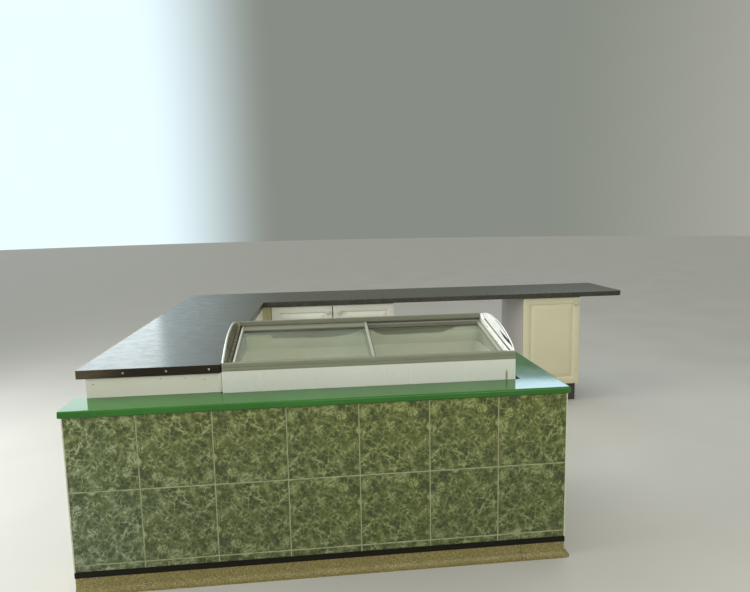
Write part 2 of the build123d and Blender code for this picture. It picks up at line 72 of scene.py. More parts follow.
# ---------------------------------------------------------------------------
# shapes, in datum millimetres
# ---------------------------------------------------------------------------
class Shape:
    """Faces gathered in datum millimetres, then made into one object."""

    def __init__(self):
        self.v, self.f, self.m, self.local = [], [], [], []

    def add(self, verts, faces, mat=0, local=None):
        k = len(self.v)
        self.v.extend(tuple(p) for p in verts)
        for face in faces:
            self.f.append([k + j for j in face])
            self.m.append(mat)
            self.local.append(local)

    def take(self, bm, mat=0, local=None):
        bm.verts.index_update()
        self.add([q.co[:] for q in bm.verts], [[q.index for q in f.verts] for f in bm.faces], mat, local)
        bm.free()

    def box(self, x0, x1, y0, y1, z0, z1, r=0.0, seg=2, mat=0, local=None):
        bm = bmesh.new()
        bmesh.ops.create_cube(bm, size=1.0)
        for q in bm.verts:
            q.co = Vector((x0 + (q.co.x + 0.5) * (x1 - x0), y0 + (q.co.y + 0.5) * (y1 - y0),
                           z0 + (q.co.z + 0.5) * (z1 - z0)))
        if r > 0:
            bmesh.ops.bevel(bm, geom=bm.edges[:], offset=r, segments=seg, profile=0.5,
                            affect="EDGES", clamp_overlap=True)
        self.take(bm, mat, local)

    def loft(self, rings, mat=0, cap0=True, cap1=True, closed=True, local=None):
        n = len(rings[0])
        verts = [p for ring in rings for p in ring]
        faces = []
        for i in range(len(rings) - 1):
            for j in range(n if closed else n - 1):
                k = (j + 1) % n
                faces.append([i * n + j, i * n + k, (i + 1) * n + k, (i + 1) * n + j])
        if cap0:
            faces.append(list(range(n))[::-1])
        if cap1:
            faces.append([(len(rings) - 1) * n + j for j in range(n)])
        self.add(verts, faces, mat, local)

    def prism_x(self, profile, x0, x1, mat=0):
        self.loft([[(x, y, z) for y, z in profile] for x in (x0, x1)], mat)

    def disc(self, centre, axis, profile, n=24, mat=0):
        """A turned shape: profile is (radius, height along axis) pairs from one end to the other."""
        a = Vector(axis).normalized()
        u = a.orthogonal().normalized()
        w = a.cross(u)
        c = Vector(centre)
        rings = []
        for r, h in profile:
            rings.append([tuple(c + a * h + (u * math.cos(2 * math.pi * j / n)
                                             + w * math.sin(2 * math.pi * j / n)) * max(r, 0.02))
                          for j in range(n)])
        self.loft(rings, mat)


def rounded(points, radii, n=4):
    """A closed 2-D outline with its corners rounded."""
    out = []
    count = len(points)
    for i, (p, r) in enumerate(zip(points, radii)):
        p = Vector(p)
        if r <= 0:
            out.append(tuple(p))
            continue
        a = (Vector(points[i - 1]) - p)
        b = (Vector(points[(i + 1) % count]) - p)
        la, lb = a.length, b.length
        a.normalize()
        b.normalize()
        half = a.angle(b) / 2
        t = min(r / math.tan(half), la * 0.49, lb * 0.49)
        r = t * math.tan(half)
        start, end = p + a * t, p + b * t
        centre = p + (a + b).normalized() * (r / math.sin(half))
        s0 = start - centre
        s1 = end - centre
        ang = s0.angle(s1)
        for k in range(n + 1):
            f = k / n
            q = (s0 * math.sin((1 - f) * ang) + s1 * math.sin(f * ang)) / max(math.sin(ang), 1e-9)
            out.append(tuple(centre + q))
    return out


def rect_ring(x0, x1, z0, z1, r, n=3):
    """Corners of a rounded rectangle, with the same number of points whatever r is."""
    r = max(r, 0.01)
    out = []
    for cx, cz, a0 in ((x1 - r, z1 - r, 0), (x0 + r, z1 - r, 90), (x0 + r, z0 + r, 180), (x1 - r, z0 + r, 270)):
        for k in range(n + 1):
            a = math.radians(a0 + 90 * k / n)
            out.append((cx + r * math.cos(a), cz + r * math.sin(a)))
    return out


def make(shape, name, mats, body="counter", replaces=(), angle=40.0, uv=None):
    me = bpy.data.meshes.new(name)
    me.from_pydata([pt(p) for p in shape.v], [], shape.f)
    for i, poly in enumerate(me.polygons):
        poly.material_index = shape.m[i]
    bm = bmesh.new()
    bm.from_mesh(me)
    bmesh.ops.recalc_face_normals(bm, faces=bm.faces[:])
    bm.to_mesh(me)
    bm.free()
    me.polygons.foreach_set("use_smooth", [True] * len(me.polygons))
    me.set_sharp_from_angle(angle=math.radians(angle))
    if uv:
        layer = me.uv_layers.new(name=uv)
        tone = me.attributes.new("tone", "FLOAT", "POINT")
        for i, poly in enumerate(me.polygons):
            local = shape.local[i]
            for li in poly.loop_indices:
                vi = me.loops[li].vertex_index
                p = shape.v[vi]
                if local is None:
                    layer.data[li].uv = (p[0] / 1000 + p[1] / 1000, p[2] / 1000)
                else:
                    ax, a0, z0, shift, level, turn = local
                    u, v = (p[ax] - a0) / 1000, (p[2] - z0) / 1000
                    if turn:
                        u, v = 0.32 - u, 0.32 - v
                    layer.data[li].uv = (u + shift, v + shift * 0.37)
                    tone.data[vi].value = level
    for m in mats:
        me.materials.append(m)
    ob = bpy.data.objects.new(name, me)
    bpy.context.scene.collection.objects.link(ob)
    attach(ob, body)
    if replaces:
        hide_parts(*replaces)
    return ob


# ---------------------------------------------------------------------------
# materials
# ---------------------------------------------------------------------------
class Mat:
    """A Principled material with short calls for its nodes."""

    def __init__(self, name, **fixed):
        self.mat = bpy.data.materials.new(name)
        self.mat.use_nodes = True
        self.t = self.mat.node_tree
        self.t.nodes.clear()
        self.out = self.t.nodes.new("ShaderNodeOutputMaterial")
        self.p = self.t.nodes.new("ShaderNodeBsdfPrincipled")
        self.t.links.new(self.p.outputs["BSDF"], self.out.inputs["Surface"])
        for key, value in fixed.items():
            self.p.inputs[key.replace("_", " ")].default_value = value
        self.pos = self.t.nodes.new("ShaderNodeTexCoord").outputs["Object"]

    def node(self, kind, ins=None, **props):
        node = self.t.nodes.new(kind)
        for k, v in props.items():
            setattr(node, k, v)
        for k, v in (ins or {}).items():
            self.put(node.inputs[k], v)
        return node

    def put(self, socket, v):
        if isinstance(v, bpy.types.NodeSocket):
            self.t.links.new(v, socket)
        else:
            socket.default_value = v

    def set(self, key, v):
        self.put(self.p.inputs[key], v)

    def noise(self, vec=None, scale=5.0, detail=2.0, rough=0.5, distort=0.0, colour=False):
        n = self.node("ShaderNodeTexNoise", {"Vector": vec or self.pos, "Scale": scale, "Detail": detail,
                                             "Roughness": rough, "Distortion": distort})
        return n.outputs["Color"] if colour else n.outputs["Fac"]

    def edges(self, vec, scale, randomness=1.0):
        return self.node("ShaderNodeTexVoronoi", {"Vector": vec, "Scale": scale, "Randomness": randomness},
                         feature="DISTANCE_TO_EDGE").outputs["Distance"]

    def cells(self, vec, scale, out="Color"):
        return self.node("ShaderNodeTexVoronoi", {"Vector": vec, "Scale": scale}).outputs[out]

    def math(self, op, a, b=0.0, c=None, clamp=False):
        n = self.t.nodes.new("ShaderNodeMath")
        n.operation, n.use_clamp = op, clamp
        self.put(n.inputs[0], a)
        self.put(n.inputs[1], b)
        if c is not None:
            self.put(n.inputs[2], c)
        return n.outputs[0]

    def vmath(self, op, a, b=(0, 0, 0), scale=None):
        n = self.t.nodes.new("ShaderNodeVectorMath")
        n.operation = op
        self.put(n.inputs[0], a)
        if op == "SCALE":
            self.put(n.inputs[3], scale)
        else:
            self.put(n.inputs[1], b)
        return n.outputs[0]

    def warp(self, vec, by, amount):
        """vec moved by up to amount, following the noise colour by."""
        return self.vmath("ADD", vec, self.vmath("SCALE", self.vmath("SUBTRACT", by, (0.5, 0.5, 0.5)), scale=amount))

    def span(self, v, a, b, lo=0.0, hi=1.0, smooth=True):
        n = self.node("ShaderNodeMapRange", {"Value": v, "From Min": a, "From Max": b, "To Min": lo, "To Max": hi})
        n.interpolation_type = "SMOOTHSTEP" if smooth else "LINEAR"
        n.clamp = True
        return n.outputs["Result"]

    def ramp(self, v, stops):
        n = self.node("ShaderNodeValToRGB", {"Fac": v})
        e = n.color_ramp.elements
        while len(e) < len(stops):
            e.new(0.5)
        for el, (p, c) in zip(e, stops):
            el.position = p
            el.color = (*c, 1) if len(c) == 3 else c
        return n.outputs["Color"]

    def mix(self, fac, a, b, mode="MIX"):
        n = self.t.nodes.new("ShaderNodeMix")
        n.data_type, n.blend_type = "RGBA", mode
        self.put(n.inputs[0], fac)
        for i, c in ((6, a), (7, b)):
            self.put(n.inputs[i], (*c, 1) if isinstance(c, tuple) and len(c) == 3 else c)
        return n.outputs[2]

    def stretch(self, vec, scale, loc=(0, 0, 0)):
        return self.node("ShaderNodeMapping", {"Vector": vec, "Scale": scale, "Location": loc}).outputs[0]

    def axis(self, vec, i):
        return self.node("ShaderNodeSeparateXYZ", {"Vector": vec}).outputs[i]

    def bump(self, height, strength=0.3, distance=0.001, normal=None):
        ins = {"Strength": strength, "Distance": distance, "Height": height}
        if normal is not None:
            ins["Normal"] = normal
        return self.node("ShaderNodeBump", ins).outputs["Normal"]

    def patch(self, x, z, wx, wz, vec=None, wobble=0.0):
        """1 at (x, z) in datum millimetres, falling to 0 at wx and wz from it."""
        v = vec or self.pos
        if wobble:
            v = self.warp(v, self.noise(v, 60, 3, 0.6, colour=True), wobble)
        dx = self.math("DIVIDE", self.math("SUBTRACT", self.axis(v, 0), x / 1000 + OX), wx / 1000)
        dz = self.math("DIVIDE", self.math("SUBTRACT", self.axis(v, 2), z / 1000), wz / 1000)
        d = self.math("SQRT", self.math("ADD", self.math("MULTIPLY", dx, dx), self.math("MULTIPLY", dz, dz)))
        return self.span(d, 0.35, 1.0, 1.0, 0.0)


M = {}

# glazed marbled tile; the "print" attribute holds the veins and patches that every tile repeats, and
# the "tile" map carries the finer marbling
m = Mat("green_marble_glaze", IOR=1.48, Coat_Weight=0.10, Coat_Roughness=0.15)
uv = m.node("ShaderNodeUVMap", uv_map="tile").outputs[0]
tone = m.node("ShaderNodeAttribute", attribute_name="tone").outputs["Fac"]
drawn = m.node("ShaderNodeAttribute", attribute_name="print").outputs["Fac"]
p1 = m.warp(m.warp(uv, m.noise(uv, 20, 3, 0.6, colour=True), 0.034), m.noise(uv, 80, 2, 0.5, colour=True), 0.006)
p2 = m.warp(m.vmath("ADD", uv, (3.3, 5.1, 0)), m.noise(uv, 45, 2, 0.5, colour=True), 0.016)
cloud = m.noise(p1, 30, 3, 0.55)
fine = m.noise(m.warp(uv, m.noise(uv, 90, 2, 0.5, colour=True), 0.008), 170, 2, 0.60)
d1 = m.edges(p1, 45)
d2 = m.edges(p2, 88)
web = m.span(d1, 0.0, 0.10, 1.0, 0.0)
well = m.span(d1, 0.06, 0.38)
lace = m.span(d2, 0.0, 0.13, 1.0, 0.0)
where = m.span(m.noise(m.vmath("ADD", uv, (7.7, 2.2, 0)), 20, 3, 0.6), 0.36, 0.58, 0.05, 1.0)
where2 = m.span(m.noise(m.vmath("ADD", uv, (1.7, 8.2, 0)), 26, 3, 0.6), 0.42, 0.60)
level = m.math("MULTIPLY_ADD", drawn, 0.34, 0.345)
level = m.math("ADD", level, m.math("MULTIPLY", m.math("SUBTRACT", cloud, 0.5), 0.42))
level = m.math("ADD", level, m.math("MULTIPLY", m.math("SUBTRACT", fine, 0.5), 0.34))
level = m.math("ADD", level, m.math("MULTIPLY", web, m.math("MULTIPLY", where, 0.46)))
level = m.math("ADD", level, m.math("MULTIPLY", well, -0.12))
level = m.math("ADD", level, m.math("MULTIPLY", lace, m.math("MULTIPLY", where2, 0.34)), clamp=True)
col = m.ramp(level, [(0.00, (0.030, 0.044, 0.013)), (0.22, (0.052, 0.070, 0.020)), (0.44, (0.096, 0.118, 0.038)),
                     (0.66, (0.158, 0.182, 0.078)), (0.88, (0.245, 0.270, 0.145)), (1.0, (0.31, 0.335, 0.20))])
wash = m.span(m.noise(m.vmath("ADD", uv, (4.4, 4.4, 0)), 12, 2, 0.5), 0.45, 0.70)
col = m.mix(m.math("MULTIPLY", wash, 0.42), col, m.mix(0.42, col, (0.150, 0.158, 0.028)))
col = m.mix(1.0, col, m.ramp(tone, [(0.0, (0.90, 0.95, 1.02)), (0.5, (1, 1, 1)), (1.0, (1.08, 1.06, 0.92))]), "MULTIPLY")
# painted window light: the tiles paler and bluer towards the left end, yellower towards the right
near = m.ramp(m.span(m.axis(m.pos, 0), 0.0 + OX, 1.25 + OX, smooth=False),
              [(0.0, (1.27, 1.31, 1.46)), (0.40, (1.0, 1.01, 0.86)), (1.0, (0.99, 1.0, 0.74))])
col = m.mix(1.0, col, near, "MULTIPLY")
rise = m.ramp(m.span(m.axis(m.pos, 2), 0.12, 0.76, smooth=False), [(0.0, (0.82, 0.87, 0.99)), (0.5, (0.88, 0.915, 0.99)), (1.0, (1.06, 1.05, 0.98))])
col = m.mix(1.0, col, rise, "MULTIPLY")
dust = m.span(m.axis(m.pos, 2), 0.10, 0.26, 1.0, 0.0)
dust = m.math("MULTIPLY", dust, m.span(m.noise(m.pos, 9, 4, 0.6), 0.35, 0.75, 0.0, 0.25))
col = m.mix(dust, col, (0.15, 0.145, 0.075))
stain = m.patch(1829, 500, 22, 70, wobble=0.03)
col = m.mix(m.math("MULTIPLY", stain, 0.5), col, (0.13, 0.095, 0.030))
worn = m.patch(1918, 124, 30, 26, wobble=0.03)
col = m.mix(m.math("MULTIPLY", worn, 0.75), col, (0.30, 0.29, 0.18))
m.set("Base Color", col)
m.set("Roughness", m.span(m.noise(m.pos, 12, 4, 0.6), 0.3, 0.7, 0.26, 0.42))
m.set("Normal", m.bump(m.math("ADD", m.noise(uv, 70, 2, 0.5), m.math("MULTIPLY", level, 0.3)), 0.10, 0.0010))
M["tile"] = m.mat

# pale grout, browner in the upright joints
m = Mat("tile_grout", IOR=1.45)
g = m.noise(m.pos, 30, 4, 0.65)
col = m.ramp(g, [(0.3, (0.20, 0.215, 0.115)), (0.55, (0.30, 0.325, 0.19)), (0.75, (0.38, 0.41, 0.26))])
turn = m.math("DIVIDE", m.math("SUBTRACT", m.axis(m.pos, 0), OX), 0.305)
near = m.math("ABSOLUTE", m.math("SUBTRACT", m.math("FRACT", m.math("ADD", turn, 0.5)), 0.5))
col = m.mix(m.math("MULTIPLY", m.span(near, 0.008, 0.014, 1.0, 0.0), 0.20), col, (0.24, 0.225, 0.125))
m.set("Base Color", col)
m.set("Roughness", m.span(g, 0.3, 0.7, 0.6, 0.85))
m.set("Normal", m.bump(m.noise(m.pos, 400, 3, 0.6), 0.35, 0.0006))
M["grout"] = m.mat

# high-gloss green ledge
m = Mat("green_gloss_ledge", IOR=1.33)
c = m.noise(m.pos, 3.0, 3, 0.55)
scr = m.noise(m.stretch(m.pos, (3, 120, 40)), 4, 3, 0.6)
col = m.ramp(c, [(0.35, (0.026, 0.124, 0.016)), (0.65, (0.035, 0.150, 0.024))])
col = m.mix(m.span(scr, 0.62, 0.75, 0.0, 0.16), col, (0.09, 0.22, 0.075))
m.set("Base Color", col)
soft = m.span(m.axis(m.pos, 1), -0.023 + OY, -0.008 + OY, 0.30, 0.0)
m.set("Roughness", m.math("ADD", m.math("ADD", m.span(scr, 0.5, 0.8, 0.07, 0.17), m.span(c, 0.3, 0.7, 0.0, 0.04)), soft))
m.set("Normal", m.bump(m.noise(m.pos, 26, 2, 0.5), 0.05, 0.0012))
M["ledge"] = m.mat

# dark strip over the plinth
m = Mat("dark_strip", IOR=1.22)
c = m.noise(m.stretch(m.pos, (4, 30, 60)), 5, 4, 0.6)
m.set("Base Color", m.ramp(c, [(0.3, (0.006, 0.005, 0.003)), (0.62, (0.011, 0.010, 0.006)), (0.8, (0.026, 0.023, 0.014))]))
m.set("Roughness", m.span(c, 0.3, 0.8, 0.42, 0.65))
m.set("Normal", m.bump(m.noise(m.pos, 200, 2, 0.5), 0.12, 0.0006))
M["strip"] = m.mat

# speckled floor vinyl turned up the plinth
m = Mat("speckled_vinyl", IOR=1.47)
flake = m.cells(m.warp(m.pos, m.noise(m.pos, 500, 2, 0.5, colour=True), 0.0012), 420)
tint = m.axis(flake, 0)
fine = m.noise(m.pos, 900, 2, 0.6)
patchy = m.noise(m.pos, 6, 4, 0.6)
col = m.ramp(tint, [(0.0, (0.090, 0.070, 0.020)), (0.32, (0.174, 0.142, 0.042)), (0.62, (0.222, 0.187, 0.058)),
                    (0.86, (0.33, 0.29, 0.12)), (1.0, (0.46, 0.43, 0.22))])
col = m.mix(m.span(fine, 0.35, 0.7, 0.0, 0.35), col, (0.10, 0.08, 0.025))
col = m.mix(m.span(patchy, 0.35, 0.75, 0.0, 0.45), col, (0.17, 0.14, 0.045))
m.set("Base Color", col)
m.set("Roughness", m.span(patchy, 0.3, 0.7, 0.38, 0.6))
m.set("Normal", m.bump(fine, 0.22, 0.0006))
M["vinyl"] = m.mat

# near-black: real dark marks (filled holes, dark screws), and painted shade in gaps, grooves and recesses
m = Mat("dark_marks_and_painted_shade", Base_Color=(0.012, 0.010, 0.006, 1), IOR=1.4)
m.set("Roughness", m.span(m.noise(m.pos, 80, 2), 0.3, 0.7, 0.7, 0.95))
m.set("Base Color", m.ramp(m.noise(m.pos, 60, 3), [(0.3, (0.010, 0.008, 0.005)), (0.8, (0.03, 0.025, 0.015))]))
M["seam"] = m.mat

# cream angle bead
m = Mat("cream_bead", IOR=1.46)
c = m.noise(m.pos, 18, 4, 0.6)
m.set("Base Color", m.ramp(c, [(0.3, (0.42, 0.43, 0.29)), (0.7, (0.58, 0.59, 0.44))]))
m.set("Roughness", m.span(c, 0.3, 0.7, 0.4, 0.6))
M["bead"] = m.mat


def painted(name, lo, hi, dirt, rough=(0.3, 0.45), peel=180.0, peel_by=0.06, dirt_amount=0.35, dirt_scale=5.0):
    m = Mat(name, IOR=1.47)
    c = m.noise(m.pos, 2.2, 4, 0.55)
    col = m.ramp(c, [(0.32, lo), (0.68, hi)])
    d = m.noise(m.stretch(m.pos, (1.6, 1.6, 0.7)), dirt_scale, 6, 0.68)
    col = m.mix(m.span(d, 0.52, 0.85, 0.0, dirt_amount), col, dirt)
    speck = m.span(m.noise(m.pos, 260, 2, 0.5), 0.70, 0.78, 0.0, 0.35)
    col = m.mix(speck, col, dirt)
    m.put(m.p.inputs["Base Color"], col)
    m.set("Roughness", m.span(d, 0.3, 0.8, rough[0], rough[1]))
    m.set("Normal", m.bump(m.noise(m.pos, peel, 2, 0.5), peel_by, 0.0008))
    return m, col


m, _ = painted("off_white_panel", (0.61, 0.61, 0.525), (0.67, 0.67, 0.60), (0.44, 0.42, 0.28), (0.32, 0.48))
M["panel"] = m.mat

# a darker copy of the off-white panel for the outer face: painted shade against the strong window light on that side
m, _ = painted("outer_panel", (0.40, 0.405, 0.345), (0.45, 0.455, 0.390), (0.30, 0.29, 0.20), (0.40, 0.55), dirt_amount=0.4)
M["panel_outer_shade"] = m.mat

m, col = painted("freezer_white_coat", (0.628, 0.648, 0.600), (0.666, 0.686, 0.645), (0.52, 0.51, 0.37), (0.24, 0.36),
                 dirt_amount=0.10, peel=90.0, peel_by=0.03)
streak = m.math("MULTIPLY", m.patch(1914.5, 806, 8.0, 40, wobble=0.004),
                m.span(m.noise(m.stretch(m.pos, (260, 30, 18)), 1.0, 4, 0.6), 0.25, 0.6, 0.45, 1.0))
col = m.mix(m.math("MULTIPLY", streak, 0.80), col, (0.205, 0.150, 0.042))
m.set("Base Color", col)
M["freezer"] = m.mat

m, col = painted("liner_sheet", (0.72, 0.715, 0.58), (0.78, 0.775, 0.655), (0.58, 0.58, 0.40), (0.3, 0.5), dirt_amount=0.25)
tint = m.ramp(m.span(m.axis(m.pos, 0), 0.70 + OX, 1.50 + OX, smooth=False), [(0.0, (1.04, 1.02, 0.90)), (0.45, (1.0, 0.98, 0.98)), (1.0, (0.89, 0.84, 0.85))])
m.set("Base Color", m.mix(1.0, col, tint, "MULTIPLY"))
M["liner"] = m.mat

# rime on the lining, greener at the left end
m = Mat("frosted_lining", IOR=1.31)
c = m.noise(m.pos, 7, 5, 0.62)
grain = m.noise(m.pos, 160, 4, 0.65)
col = m.ramp(c, [(0.3, (0.70, 0.70, 0.58)), (0.7, (0.80, 0.80, 0.70))])
low = m.span(m.axis(m.pos, 2), 0.886, 0.950, 1.0, 0.0)
col = m.mix(m.math("MULTIPLY", low, 0.45), col, (0.42, 0.42, 0.33))
west = m.span(m.axis(m.pos, 0), 0.815 + OX, 0.840 + OX, 1.0, 0.0)
col = m.mix(m.math("MULTIPLY", west, 0.75), col, (0.60, 0.62, 0.32))
m.set("Base Color", col)
m.set("Roughness", m.span(grain, 0.3, 0.7, 0.55, 0.85))
m.set("Normal", m.bump(m.math("ADD", grain, m.math("MULTIPLY", c, 2.0)), 0.35, 0.0015))
M["frost"] = m.mat

m, col = painted("cream_foil_door", (0.60, 0.565, 0.385), (0.65, 0.615, 0.435), (0.50, 0.45, 0.28), (0.3, 0.42), peel=320, peel_by=0.05, dirt_amount=0.2)
# painted bluish window light: the left unit's doors paler and bluer, the right unit's door a little darker
tint = m.ramp(m.span(m.axis(m.pos, 0), 0.70 + OX, 2.70 + OX, smooth=False),
              [(0.0, (1.03, 1.11, 1.37)), (0.45, (0.89, 0.93, 1.17)), (1.0, (0.93, 0.93, 0.94))])
m.set("Base Color", m.mix(1.0, col, tint, "MULTIPLY"))
M["door"] = m.mat

m, _ = painted("white_board", (0.430, 0.385, 0.342), (0.475, 0.430, 0.388), (0.33, 0.31, 0.25), (0.4, 0.55), dirt_amount=0.25)
M["carcass"] = m.mat

m, _ = painted("knob_moulding", (0.40, 0.39, 0.31), (0.45, 0.44, 0.36), (0.38, 0.35, 0.25), (0.25, 0.38), dirt_amount=0.3, dirt_scale=60)
M["knob"] = m.mat

# grey extruded profile of the freezer's rails and lid frames
def profile_grey(name, lo, hi, dirt, rough):
    m = Mat(name, IOR=1.38)
    c = m.noise(m.stretch(m.pos, (1.5, 60, 60)), 4, 4, 0.6)
    d = m.noise(m.pos, 9, 5, 0.65)
    col = m.mix(m.span(d, 0.5, 0.85, 0.0, 0.30), m.ramp(c, [(0.3, lo), (0.7, hi)]), dirt)
    m.set("Base Color", col)
    m.set("Roughness", m.span(d, 0.3, 0.8, rough, rough + 0.15))
    m.set("Normal", m.bump(m.noise(m.stretch(m.pos, (4, 300, 300)), 4, 2, 0.5), 0.05, 0.0006))
    return m.mat


M["rail"] = profile_grey("grey_profile", (0.180, 0.192, 0.133), (0.222, 0.238, 0.170), (0.115, 0.115, 0.070), 0.38)
# a paler copy of the grey profile for the lids' right side bars: painted light where the window light catches them
M["rail_light"] = profile_grey("grey_profile_painted_light", (0.30, 0.32, 0.225), (0.36, 0.38, 0.28), (0.20, 0.20, 0.13), 0.30)

# a darker copy for the rear rail and the upper lid's rear bar: painted shade on their tops
M["rail_rear"] = profile_grey("grey_profile_top_shade", (0.155, 0.164, 0.118), (0.185, 0.195, 0.142), (0.110, 0.112, 0.076), 0.42)
# a darker copy still for the lower lid's rear bar: painted shade under the rear rail
M["rail_dark"] = profile_grey("grey_profile_deep_shade", (0.105, 0.110, 0.084), (0.130, 0.136, 0.104), (0.080, 0.082, 0.060), 0.45)

# bright metal of the end caps' rims and the lid's slim bar
m = Mat("bright_cap_metal", Metallic=0.55)
c = m.noise(m.stretch(m.pos, (20, 3, 3)), 6, 4, 0.6)
m.set("Base Color", m.ramp(c, [(0.3, (0.74, 0.74, 0.68)), (0.7, (0.86, 0.86, 0.80))]))
m.set("Roughness", m.span(m.noise(m.stretch(m.pos, (30, 6, 90)), 6, 4, 0.6), 0.3, 0.7, 0.16, 0.30))
m.set("Normal", m.bump(m.noise(m.pos, 8, 2, 0.4), 0.03, 0.002))
M["cap"] = m.mat

# the left cap's inner face and trim bar: painted shade and painted reflection, dark with brown streaks that run down it
m = Mat("streaked_cap_painted_shade", Metallic=0.25, IOR=1.45)
run = m.noise(m.stretch(m.pos, (2, 70, 2.5)), 1.0, 4, 0.62, 0.4)
c = m.noise(m.pos, 9, 4, 0.6)
col = m.ramp(run, [(0.28, (0.046, 0.042, 0.022)), (0.48, (0.100, 0.093, 0.048)), (0.62, (0.180, 0.170, 0.100)), (0.75, (0.32, 0.31, 0.21))])
col = m.mix(m.span(c, 0.35, 0.75, 0.0, 0.35), col, (0.075, 0.070, 0.034))
m.set("Base Color", col)
m.set("Roughness", m.span(run, 0.3, 0.7, 0.28, 0.42))
m.set("Normal", m.bump(run, 0.10, 0.0010))
M["cap_dull"] = m.mat

# the right cap's inner face, pale and bright
m = Mat("pale_cap_face", Metallic=0.10, IOR=1.5)
run = m.noise(m.stretch(m.pos, (2, 14, 3)), 1.0, 3, 0.5)
m.set("Base Color", m.ramp(run, [(0.30, (0.60, 0.59, 0.555)), (0.65, (0.70, 0.69, 0.655))]))
m.set("Roughness", m.span(run, 0.3, 0.7, 0.30, 0.38))
M["cap_pale"] = m.mat

# trim bar beside the right lid
m = Mat("bright_trim_bar", Metallic=0.30, IOR=1.5)
c = m.noise(m.stretch(m.pos, (40, 3, 40)), 5, 4, 0.6)
m.set("Base Color", m.ramp(c, [(0.3, (0.80, 0.80, 0.75)), (0.7, (0.90, 0.90, 0.85))]))
m.set("Roughness", m.span(c, 0.3, 0.7, 0.24, 0.36))
M["trim"] = m.mat

# dark grey strip along the joint of the caps' bar and face: painted shade
m = Mat("cap_joint_grey", IOR=1.45)
c = m.noise(m.stretch(m.pos, (8, 2, 8)), 20, 4, 0.6)
m.set("Base Color", m.ramp(c, [(0.3, (0.040, 0.040, 0.032)), (0.7, (0.085, 0.085, 0.070))]))
m.set("Roughness", m.span(c, 0.3, 0.7, 0.5, 0.7))
M["cap_joint"] = m.mat

# paler seal between the lids' bars and the glass
m = Mat("grey_lid_seal", IOR=1.42)
c = m.noise(m.pos, 90, 3, 0.6)
m.set("Base Color", m.ramp(c, [(0.3, (0.090, 0.093, 0.070)), (0.7, (0.130, 0.134, 0.104))]))
m.set("Roughness", m.span(c, 0.3, 0.7, 0.5, 0.75))
M["soft_seal"] = m.mat

m = Mat("grey_white_sealant", IOR=1.42)
c = m.noise(m.pos, 60, 3, 0.6)
m.set("Base Color", m.ramp(c, [(0.3, (0.40, 0.40, 0.37)), (0.7, (0.50, 0.50, 0.47))]))
m.set("Roughness", m.span(c, 0.3, 0.7, 0.45, 0.6))
M["sealant"] = m.mat

m = Mat("pale_brush_seal", IOR=1.42)
c = m.noise(m.pos, 120, 3, 0.6)
m.set("Base Color", m.ramp(c, [(0.3, (0.24, 0.245, 0.19)), (0.7, (0.32, 0.325, 0.26))]))
m.set("Roughness", m.span(c, 0.3, 0.7, 0.6, 0.8))
M["pale_seal"] = m.mat

m = Mat("dark_gasket", IOR=1.4)
c = m.noise(m.pos, 90, 3, 0.6)
m.set("Base Color", m.ramp(c, [(0.3, (0.018, 0.018, 0.014)), (0.7, (0.045, 0.045, 0.036))]))
m.set("Roughness", m.span(c, 0.3, 0.7, 0.5, 0.75))
M["gasket"] = m.mat

# dark worktop laminate, fine pebbled
m = Mat("dark_worktop", IOR=1.52)
peb = m.cells(m.pos, 700, "Distance")
c = m.noise(m.pos, 16, 5, 0.6)
fleck = m.span(m.noise(m.pos, 330, 2, 0.5), 0.62, 0.72, 0.0, 0.25)
col = m.ramp(c, [(0.3, (0.024, 0.024, 0.014)), (0.7, (0.034, 0.034, 0.021))])
col = m.mix(fleck, col, (0.065, 0.066, 0.055))
m.set("Base Color", col)
m.set("Roughness", m.span(c, 0.3, 0.75, 0.24, 0.32))
m.set("Normal", m.bump(peb, 0.04, 0.0004))
M["worktop"] = m.mat

# edge strip, paler in patches towards its window end
m = Mat("brown_black_strip", IOR=1.30)
c = m.noise(m.stretch(m.pos, (3, 80, 80)), 5, 4, 0.6)
col = m.ramp(c, [(0.3, (0.012, 0.008, 0.004)), (0.6, (0.020, 0.014, 0.007)), (0.8, (0.036, 0.026, 0.014))])
paler_left_end = m.math("MULTIPLY", m.span(m.axis(m.pos, 0), 0.05 + OX, 0.27 + OX, 1.0, 0.0), m.span(c, 0.25, 0.7, 0.35, 0.85))
col = m.mix(paler_left_end, col, (0.115, 0.092, 0.055))
m.set("Base Color", col)
m.set("Roughness", m.span(c, 0.3, 0.8, 0.36, 0.55))
m.set("Normal", m.bump(m.noise(m.stretch(m.pos, (20, 200, 300)), 3, 3, 0.5), 0.08, 0.0006))
M["edge"] = m.mat

m = Mat("screw_steel", Metallic=1.0)
c = m.noise(m.pos, 400, 3, 0.6)
m.set("Base Color", m.ramp(c, [(0.3, (0.36, 0.33, 0.28)), (0.7, (0.62, 0.60, 0.55))]))
m.set("Roughness", m.span(c, 0.3, 0.7, 0.28, 0.5))
M["steel"] = m.mat

m = Mat("plinth_board_dark", IOR=1.45)
c = m.noise(m.pos, 6, 4, 0.6)
m.set("Base Color", m.ramp(c, [(0.3, (0.030, 0.026, 0.020)), (0.7, (0.060, 0.052, 0.042))]))
m.set("Roughness", m.span(c, 0.3, 0.7, 0.5, 0.7))
M["plinth_board"] = m.mat

m = Mat("foot_rubber_black", IOR=1.4)
c = m.noise(m.pos, 120, 3, 0.6)
m.set("Base Color", m.ramp(c, [(0.3, (0.015, 0.015, 0.015)), (0.7, (0.04, 0.04, 0.038))]))
m.set("Roughness", m.span(c, 0.3, 0.7, 0.65, 0.85))
M["rubber"] = m.mat


